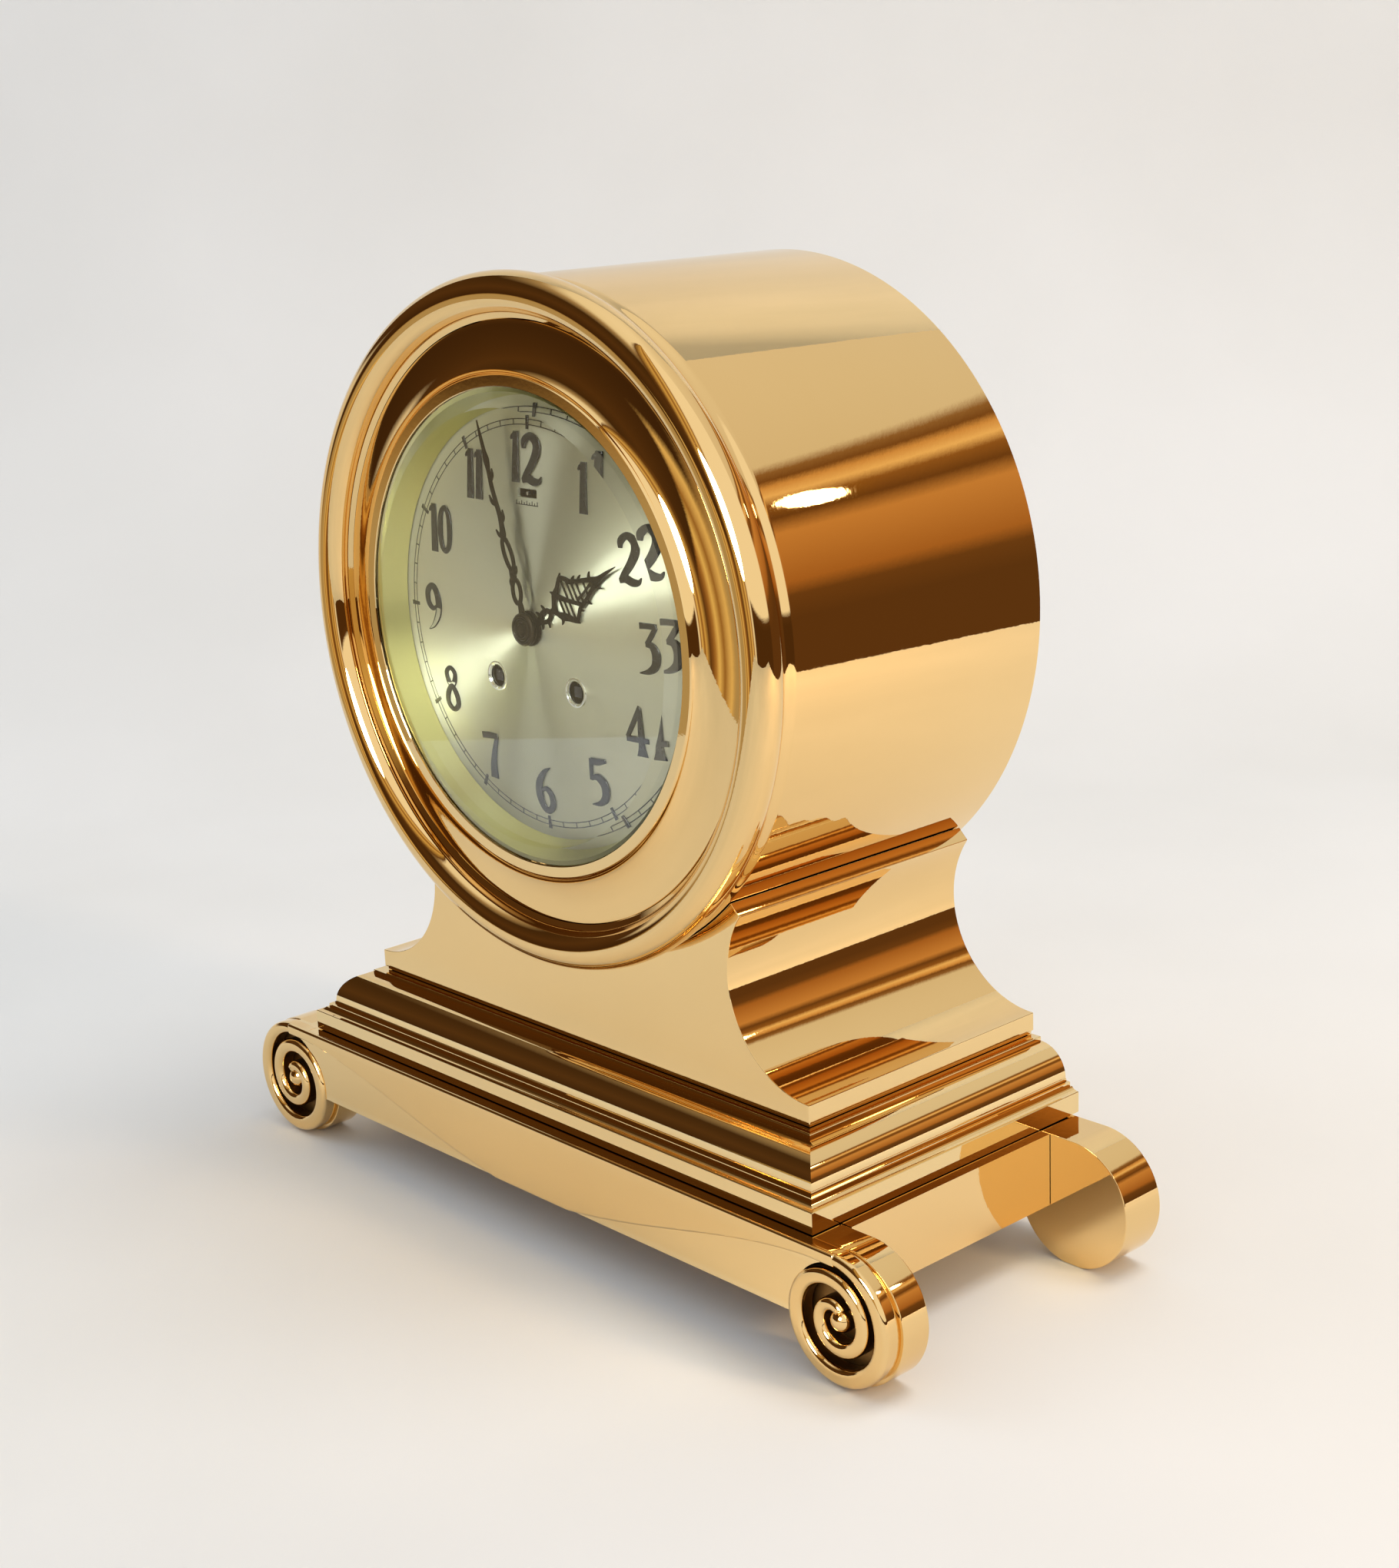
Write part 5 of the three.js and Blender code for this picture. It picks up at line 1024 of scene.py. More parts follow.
@dataclass
class BaseMoulding:
    """The stepped moulding with mitred corners, on the front and both sides."""

    half_width: float = 150.0
    front: float = -72.05
    rear: float = 73.35
    bottom: float = 50.984
    fascia_top: float = 59.384
    cyma_inset: float = 3.1
    cyma_rise: float = 1.4
    fillet_inset: float = 4.1
    fillet_top: float = 62.284
    ovolo_inset: float = 6.3
    ovolo_base: float = 63.284
    ovolo_radius: float = 12.2
    top: float = 77.184
    wall: float = 32.0
    roof: float = 7.0
    arris: float = 0.2
    quirk: float = 0.4
    quirk_rise: float = 0.1
    cyma_handles: Tuple[Flat, Flat] = ((1.705, 0.1), (2.635, 0.63))
    cavity_run: float = 5.0

    def profile(self) -> List[Flat]:
        """Profile of the moulding from its foot up.

        Returns:
            (inset, z) corners.
        """
        fascia, cyma_top = self.fascia_top, self.fascia_top + self.cyma_rise
        handles = [(inset, fascia + rise) for inset, rise in self.cyma_handles]
        cyma = bezier((self.arris, fascia), *handles, (self.cyma_inset, cyma_top), 8)
        quirk = self.ovolo_inset - self.quirk
        ring = self.ovolo_inset + self.ovolo_radius
        ovolo = [(ring - x, self.ovolo_base + z) for x, z in arc((0, 0), self.ovolo_radius, 0, 90, 22)]
        foot = [(self.arris, self.bottom), (0.0, self.bottom + self.arris), (0.0, fascia - self.arris)]
        fillet = [(self.fillet_inset, cyma_top), (self.fillet_inset, self.fillet_top),
                  (quirk, self.fillet_top + self.quirk_rise), (quirk, self.ovolo_base - self.arris)]
        return foot + cyma + fillet + ovolo + [(ring, self.top - self.arris), (ring + self.arris, self.top)]

    def build(self) -> None:
        """Raise the moulding step by step from its foot, and hollow it from below."""
        steps = self.profile()
        width, depth = self.half_width, self.rear - self.front
        inset, z = steps[0]
        corners = [(-width + inset, self.front + inset, z), (width - inset, self.front + inset, z),
                   (width - inset, self.rear, z), (-width + inset, self.rear, z)]
        piece = Bench.trace("base_moulding_dressed", corners)
        bpy.ops.mesh.edge_face_add()
        for (before, low), (after, high) in zip(steps, steps[1:]):
            bpy.ops.mesh.extrude_region_move(
                TRANSFORM_OT_translate={"value": (0, 0, (high - low) * MM)})
            scale = ((width - after) / (width - before), (depth - after) / (depth - before), 1)
            bpy.ops.transform.resize(value=scale, center_override=(0, self.rear * MM, high * MM))
        Bench.close()
        side = width - self.wall
        hollow = rectangle(-side, side, self.bottom - self.cavity_run, self.top - self.roof)
        cavity = Bench.prism("cavity", hollow, self.front + self.wall, self.rear - self.wall / 2)
        Bench.drill(piece, [cavity])
        Bench.dress(piece, "base_moulding", Body.CASE, Slot.POLISHED_BRASS, 22, True)


@dataclass
class Pedestal:
    """The slab with two concave sides that end in cusps under the drum."""

    bottom: float = 77.484
    neck_inset: float = 1.0
    slab_bottom: float = 78.784
    slab_top: float = 86.184
    half_width: float = 127.9
    front: float = -49.95
    rear: float = 73.35
    scotia: float = 40.094
    cusp_rise: float = 63.377
    saddle: float = 128.6
    edge: float = 0.35
    neck_overlap: float = 1.0
    neck_back: float = 0.2

    def outline(self) -> List[Flat]:
        """Outline of the pedestal above its neck.

        Returns:
            (x, z) corners.
        """
        centre = (self.half_width, self.slab_top + self.scotia)
        cusp_z = self.slab_top + self.cusp_rise
        lean = math.degrees(math.asin((cusp_z - centre[1]) / self.scotia))
        scotia = arc(centre, self.scotia, 270, 180 - lean, 40)
        cusp_x = scotia[-1][0]
        start = math.degrees(math.atan2(cusp_z - AXIS_Z, cusp_x))
        saddle = arc((0, AXIS_Z), self.saddle, start, -180 - start, 72)
        right = [(self.half_width, self.slab_bottom)] + scotia
        return right + saddle + [(-x, z) for x, z in reversed(right)]

    def build(self) -> None:
        """Build and dress the pedestal."""
        piece = Bench.prism("pedestal_dressed", self.outline(), self.front, self.rear)
        Bench.ease(piece, self.edge)
        side = self.half_width - self.neck_inset
        outline = rectangle(-side, side, self.bottom, self.slab_bottom + self.neck_overlap)
        neck = Bench.prism("pedestal_neck", outline, self.front + self.neck_inset, self.rear - self.neck_back)
        piece = Bench.join([piece, neck])
        Bench.dress(piece, "pedestal", Body.CASE, Slot.POLISHED_BRASS, 30, True)


@dataclass
class DrumCase:
    """The drum with a half-round bead round its front, and its back cover."""

    radius: float = 128.3
    rear: float = 78.05
    bead_radius: float = 123.2
    bead_y: float = -61.55
    bead_section: float = 7.6
    neck_radius: float = 127.2
    neck_length: float = 5.2
    bezel_bore: float = 113.6
    rim_y: float = -60.45
    flange_front: float = -52.55
    flange_rear: float = -46.55
    flange_inner: float = 74.0
    bore: float = 123.0
    ledge_radius: float = 116.0
    ledge_depth: float = 7.0
    cover_seat: float = 71.75
    cover_seat_radius: float = 123.2
    cover_radius: float = 122.9
    cover_step: float = 0.35
    cover_rim: float = 5.7
    cover_front: float = 72.05
    cover_rear: float = 75.25
    screw_ring: float = 119.6
    screw_hole: float = 1.9
    sound_hole: float = 7.0
    sound_ring: float = 78.0
    sound_holes: int = 8
    screw_holes: int = 3
    screw_corners: int = 24
    cover_corners: int = 180
    cover_edge: float = 0.5
    field_sink: float = 1.0
    field_edge: float = 0.28
    drill_run: float = 4.0
    chamfer: float = 0.4
    shoulder_start: float = 0.6
    shoulder_handles: Flat = (1.2, 1.8)
    steps: int = 240

    def drum(self) -> None:
        """Turn and dress the drum."""
        rise = math.degrees(math.acos((self.neck_radius - self.bead_radius) / self.bead_section))
        neck_y = self.bead_y + self.bead_section * math.sin(math.radians(rise))
        bead = arc((self.bead_radius, self.bead_y), self.bead_section, rise, -180, 40)
        shoulder_y = neck_y + self.neck_length
        outer, inner = self.shoulder_handles
        shoulder = bezier((self.radius, shoulder_y), (self.radius, shoulder_y - outer),
                          (self.neck_radius, neck_y + inner),
                          (self.neck_radius, neck_y + self.shoulder_start), 8)
        ledge_y = self.cover_seat - self.ledge_depth
        end_y = self.rear - self.chamfer
        seat = self.cover_seat_radius
        profile = [(self.radius - self.chamfer, self.rear), (self.radius, end_y)] + shoulder + bead
        profile += [(self.bezel_bore, self.rim_y), (self.bezel_bore, self.flange_front),
                    (self.flange_inner, self.flange_front), (self.flange_inner, self.flange_rear),
                    (self.bore, self.flange_rear), (self.bore, ledge_y - self.bore + self.ledge_radius),
                    (self.ledge_radius, ledge_y), (self.ledge_radius, self.cover_seat),
                    (seat, self.cover_seat), (seat, end_y), (seat + self.chamfer, self.rear)]
        drum = Bench.turned("drum_case_dressed", profile, self.steps)
        Bench.dress(drum, "drum_case", Body.CASE, Slot.POLISHED_BRASS, 25)

    def cover(self) -> None:
        """Build and dress the back cover, with its raised field and its holes."""
        middle = (0.0, AXIS_Z)
        step = self.cover_rear - self.cover_step
        rim = circle(middle, self.cover_radius, self.cover_corners)
        cover = Bench.prism("back_cover_dressed", rim, self.cover_front, step)
        Bench.ease(cover, self.cover_edge)
        field = circle(middle, self.cover_radius - self.cover_rim, self.cover_corners)
        raised = Bench.prism("cover_field", field, step - self.field_sink, self.cover_rear)
        Bench.ease(raised, self.field_edge)
        Bench.combine(cover, raised, "UNION")
        holes = []
        for name, count, ring, radius, corners in (
                ("sound_hole", self.sound_holes, self.sound_ring, self.sound_hole, HOLE_CORNERS),
                ("cover_screw_hole", self.screw_holes, self.screw_ring, self.screw_hole, self.screw_corners)):
            for i in range(count):
                hole = circle(on_face(0, ring, 360 / count * i), radius, corners)
                holes.append(Bench.prism(f"{name}_{i}", hole, self.cover_front - self.drill_run,
                                         self.cover_rear + self.drill_run))
        Bench.drill(cover, holes)
        Bench.dress(cover, "back_cover", Body.CASE, Slot.POLISHED_BRASS, 25, True)

    def build(self) -> None:
        """Build the drum and its back cover."""
        self.drum()
        self.cover()


@dataclass
class BezelAssembly:
    """The screwed bezel with its glass and sight ring."""

    radius: float = 113.3
    rim_y: float = -60.45
    rear: float = -53.45
    cove_start: Flat = (94.3, -66.35)
    cove_handle: Flat = (96.5, -61.05)
    cove_end: Flat = (112.5, -60.85)
    lip_outer: float = 94.0
    lip_inner: float = 89.6
    lip_y: float = -67.35
    bore: float = 91.5
    glass_radius: float = 91.2
    glass_front: float = -68.95
    glass_edge: float = -66.05
    glass_back: float = -64.45
    glass_bevel: float = 9.0
    ring_front: Flat = (87.2, -64.15)
    ring_rear: Flat = (81.5, -54.55)
    ring_wall: float = 2.0
    ring_lip: Flat = (0.4, 0.3)
    rim_round: Flat = (0.25, 0.3)
    lip_round: float = 0.3
    lip_depth: float = 1.0
    steps: int = 240

    def build(self) -> None:
        """Turn and dress the three pieces."""
        handle, end, start = self.cove_handle, self.cove_end, self.cove_start
        near, far = (tuple(tip[k] + (handle[k] - tip[k]) * 2 / 3 for k in (0, 1)) for tip in (end, start))
        turn_in, turn_out = self.rim_round
        outer, inner, face, soft = self.lip_outer, self.lip_inner, self.lip_y, self.lip_round
        seat = face + self.lip_depth
        profile = [(self.radius, self.rear), (self.radius, self.rim_y),
                   (self.radius - turn_in, self.rim_y - turn_out)]
        profile += bezier(end, near, far, start, 32)
        profile += [(outer, face + soft), (outer - soft, face), (inner + soft, face), (inner, face + soft),
                    (inner, seat), (self.bore, seat), (self.bore, self.rear)]
        bezel = Bench.turned("bezel_dressed", profile, self.steps)
        Bench.dress(bezel, "bezel", Body.BEZEL, Slot.POLISHED_BRASS, 25)
        flat = self.glass_radius - self.glass_bevel
        glass = Bench.turned("glass_dressed", [
            (0.0, self.glass_front), (flat, self.glass_front), (self.glass_radius, self.glass_edge),
            (self.glass_radius, self.glass_back), (0.0, self.glass_back)], self.steps, False)
        Bench.dress(glass, "glass", Body.BEZEL, Slot.CLEAR_GLASS, 10)
        (r0, y0), (r1, y1) = self.ring_front, self.ring_rear
        lip_in, lip_out = self.ring_lip
        ring = Bench.turned("sight_ring_dressed", [
            (r0, y0), (r1, y1 - lip_out), (r1 + lip_in, y1), (r1 + self.ring_wall, y1),
            (r0 + self.ring_wall, y0)], self.steps)
        Bench.dress(ring, "sight_ring", Body.BEZEL, Slot.SATIN_BRASS, 25)


@dataclass
class DialPlate:
    """The silvered dial with its minute track, numerals, winding holes and regulator slot."""

    radius: float = 83.0
    crown_y: float = -58.55
    crown: float = 4.3
    thickness: float = 1.4
    centre_hole: float = 4.2
    winding_x: float = 23.0
    winding_z: float = -21.5
    winding_radius: float = 4.4
    slot_z: float = 50.0
    slot_half: Flat = (5.6, 1.7)
    slot_corner: float = 0.25
    drill_from: float = -70.0
    drill_to: float = -50.0
    face_rings: int = 28
    rim_section: Tuple[Flat, ...] = ((1.5, 0.25), (1.2, -0.28), (0.7, -0.32), (-0.1, 0.5), (-0.1, 1.2))
    track_inner: float = 75.0
    track_outer: float = 77.0
    track_half: float = 0.17
    track_corners: int = 240
    tick_half: float = 0.2
    block_half: float = 0.85
    block_taper: float = 0.75
    block_ends: Flat = (73.4, 78.4)
    fine_line: Tuple[float, float, float, int] = (0.05, 0.16, 0.03, 0)
    broad_line: Tuple[float, float, float, int] = (0.05, 0.3, 0.05, 0)
    scale_drop: float = 4.2
    scale_half: Flat = (6.4, 0.14)
    scale_step: float = 1.5
    scale_tick: float = 0.13
    scale_heights: Flat = (1.5, 0.9)
    numeral_radius: float = 63.0
    numeral_height: float = 18.6
    numeral_foot: float = 0.1
    numeral_rounding: float = 0.36
    relief: float = 0.55
    stroke_lift: float = 0.02

    def surface(self, x: float, z: float) -> float:
        """The y of the dial's face at a place given from its centre."""
        return self.crown_y + self.crown * (x * x + z * z) / self.radius ** 2

    def follow(self, piece: Piece) -> None:
        """Lay a flat piece on the crowned face.

        Args:
            piece: what is laid.
        """
        for vertex in piece.data.vertices:
            x, z = vertex.co.x / MM, vertex.co.z / MM - AXIS_Z
            vertex.co.y += self.surface(x, z) * MM

    def plate(self) -> None:
        """Turn the dial and cut its holes."""
        width = self.radius - self.centre_hole
        radii = [self.centre_hole + width * i / self.face_rings for i in range(self.face_rings + 1)]
        face = [(r, self.surface(r, 0)) for r in radii]
        profile = face + [(r, y + self.thickness) for r, y in reversed(face)]
        dial = Bench.turned("dial_dressed", profile, 192)
        cutters = []
        for side in Side:
            at = (side.value * self.winding_x, AXIS_Z + self.winding_z)
            hole = circle(at, self.winding_radius, HOLE_CORNERS)
            cutters.append(Bench.prism(f"winding_hole_{side.label}", hole, self.drill_from, self.drill_to))
        r = self.slot_corner
        wide, tall = self.slot_half[0] - r, self.slot_half[1] - r
        z = AXIS_Z + self.slot_z
        slot = (arc((wide, z - tall), r, -90, 0, 4) + arc((wide, z + tall), r, 0, 90, 4)
                + arc((-wide, z + tall), r, 90, 180, 4) + arc((-wide, z - tall), r, 180, 270, 4))
        cutters.append(Bench.prism("regulator_slot", slot, self.drill_from, self.drill_to))
        Bench.drill(dial, cutters)
        Bench.dress(dial, "dial", Body.CASE, Slot.SILVERED_DIAL, 25)

    def rims(self) -> None:
        """Turn the countersunk rims of the winding holes."""
        rims = []
        for side in Side:
            at = (side.value * self.winding_x, AXIS_Z + self.winding_z)
            y = self.surface(self.winding_x, self.winding_z)
            section = [(self.winding_radius + out, y + deep) for out, deep in self.rim_section]
            rims.append(Bench.turned(f"winding_rim_{side.label}", section, 64, True, at))
        Bench.hand_in(Bench.join(rims), "winding_hole_rims", Body.CASE, Slot.SILVERED_DIAL,
                      Finishes.RIM.make())

    def track(self) -> None:
        """Lay the minute track: two fine rings, a tick for each minute and blocks at the hours."""
        marks: List[Piece] = []
        for radius in (self.track_inner, self.track_outer):
            edges = [circle((0, AXIS_Z), radius + out, self.track_corners)
                     for out in (self.track_half, -self.track_half)]
            marks.append(Bench.sheet("track_ring", edges, *self.fine_line))
        for minute in range(60):
            if minute % 5 == 0:
                half, taper, line = self.block_half, self.block_taper, self.broad_line
                low, high = self.block_ends
            else:
                half, taper, line = self.tick_half, 1.0, self.fine_line
                low, high = self.track_inner, self.track_outer
            corners = [(-half * taper, low), (half * taper, low), (half, high), (-half, high)]
            loop = [on_face(across, out, 6 * minute) for across, out in corners]
            marks.append(Bench.sheet(f"tick_{minute}", [loop], *line))
        track = Bench.join(marks)
        self.follow(track)
        Bench.hand_in(track, "minute_track", Body.CASE, Slot.DARK_HANDS, Finishes.ENAMEL.make())

    def slot_scale(self) -> None:
        """Lay the small scale below the regulator's slot."""
        z = AXIS_Z + self.slot_z - self.scale_drop
        reach, half = self.scale_half
        parts = [Bench.sheet("scale_line", [rectangle(-reach, reach, z - half, z + half)], *self.fine_line)]
        for i in range(-4, 5):
            x = i * self.scale_step
            tick = rectangle(x - self.scale_tick, x + self.scale_tick, z, z + self.scale_heights[i % 2])
            parts.append(Bench.sheet("scale_tick", [tick], *self.fine_line))
        scale = Bench.join(parts)
        self.follow(scale)
        Bench.hand_in(scale, "regulator_scale", Body.CASE, Slot.DARK_HANDS, Finishes.ENAMEL.make())

    def numerals(self) -> None:
        """Lay the twelve raised numerals."""
        for hour in range(1, 13):
            middle_x, middle_z = on_face(0, self.numeral_radius, 30 * hour)
            size = self.numeral_height
            strokes: List[Piece] = []
            text = str(hour)
            for figure, shift in zip(text, Figures.SPACING.get(text, (0.0,))):
                for points, closed in Figures.STROKES[figure]:
                    placed = [(middle_x + (x + shift) * size, middle_z + (z - 0.5) * size, half * size)
                              for x, z, half in points]
                    high = self.relief + self.stroke_lift * len(strokes)
                    strokes.append(Bench.sheet(f"stroke_{hour}", ribbon(placed, 7, closed),
                                               self.numeral_foot, high, self.numeral_rounding, 3))
            numeral = Bench.join(strokes)
            self.follow(numeral)
            Bench.hand_in(numeral, f"numeral_{hour}", Body.CASE, Slot.DARK_HANDS, Finishes.ENAMEL.make(),
                          angle=50)

    def build(self) -> None:
        """Build and dress the dial and all that lies on it."""
        self.plate()
        self.rims()
        self.track()
        self.slot_scale()
        self.numerals()


class Figures:
    """Brush strokes of the numerals, in parts of their height, as (x, z, half width)."""

    SPACING: Dict[str, Tuple[float, ...]] = {
        "10": (-0.27, 0.13), "11": (-0.15, 0.15), "12": (-0.34, 0.14)}
    STROKES: Dict[str, List[Drawn]] = {
        "0": [(((0, 0.95, 0.055), (-0.13, 0.82, 0.075), (-0.17, 0.5, 0.085), (-0.13, 0.18, 0.075),
                (0, 0.05, 0.055), (0.13, 0.18, 0.075), (0.17, 0.5, 0.085), (0.13, 0.82, 0.075)), True)],
        "1": [(((0, 0, 0.115), (0, 0.5, 0.1), (0, 1.0, 0.085)), False),
              (((-0.02, 0.97, 0.03), (-0.1, 0.9, 0.05), (-0.16, 0.84, 0.02)), False)],
        "2": [(((-0.23, 0.68, 0.05), (-0.22, 0.82, 0.085), (-0.06, 0.93, 0.075), (0.13, 0.84, 0.105),
                (0.17, 0.66, 0.115), (0.05, 0.42, 0.1), (-0.14, 0.18, 0.08), (-0.25, 0.05, 0.05)), False),
              (((-0.26, 0.03, 0.035), (-0.1, 0.1, 0.085), (0.08, 0.05, 0.085), (0.24, 0.06, 0.06),
                (0.32, 0.16, 0.012)), False)],
        "3": [(((-0.23, 0.93, 0.065), (0.0, 0.94, 0.06), (0.22, 0.94, 0.06)), False),
              (((0.2, 0.94, 0.055), (0.08, 0.76, 0.06), (-0.06, 0.58, 0.05)), False),
              (((-0.08, 0.57, 0.04), (0.08, 0.56, 0.08), (0.19, 0.4, 0.115), (0.15, 0.18, 0.1),
                (-0.03, 0.05, 0.06), (-0.27, 0.0, 0.012)), False)],
        "4": [(((0.1, 1.0, 0.05), (-0.08, 0.68, 0.06), (-0.28, 0.36, 0.05)), False),
              (((-0.3, 0.33, 0.06), (0.0, 0.33, 0.06), (0.3, 0.33, 0.05)), False),
              (((0.1, 0.98, 0.05), (0.1, 0.5, 0.08), (0.1, 0.2, 0.085), (0.1, 0.0, 0.15)), False)],
        "5": [(((-0.16, 0.92, 0.075), (0.05, 0.93, 0.07), (0.26, 0.97, 0.04)), False),
              (((-0.16, 0.97, 0.055), (-0.18, 0.75, 0.05), (-0.2, 0.52, 0.04)), False),
              (((-0.2, 0.55, 0.035), (-0.02, 0.6, 0.075), (0.17, 0.46, 0.11), (0.17, 0.22, 0.105),
                (0.0, 0.06, 0.06), (-0.25, 0.0, 0.012)), False)],
        "6": [(((0.22, 1.0, 0.012), (0.02, 0.88, 0.06), (-0.17, 0.62, 0.1), (-0.2, 0.34, 0.105),
                (-0.1, 0.11, 0.085), (0.05, 0.06, 0.07), (0.19, 0.2, 0.085), (0.17, 0.42, 0.08),
                (0.02, 0.53, 0.055), (-0.13, 0.46, 0.03)), False)],
        "7": [(((-0.27, 0.9, 0.07), (0.0, 0.93, 0.07), (0.26, 0.94, 0.06)), False),
              (((0.24, 0.95, 0.05), (0.1, 0.6, 0.075), (0.02, 0.3, 0.1), (0.0, 0.0, 0.125)), False)],
        "8": [(((0, 0.95, 0.05), (-0.15, 0.85, 0.065), (-0.12, 0.68, 0.075), (0, 0.57, 0.07),
                (0.12, 0.68, 0.075), (0.15, 0.85, 0.065)), True),
              (((0, 0.55, 0.06), (-0.16, 0.38, 0.08), (-0.18, 0.17, 0.075), (0, 0.05, 0.055),
                (0.18, 0.17, 0.075), (0.16, 0.38, 0.08)), True)],
    }
    STROKES["9"] = [([(-x, 1 - z, half) for x, z, half in STROKES["6"][0][0]], False)]


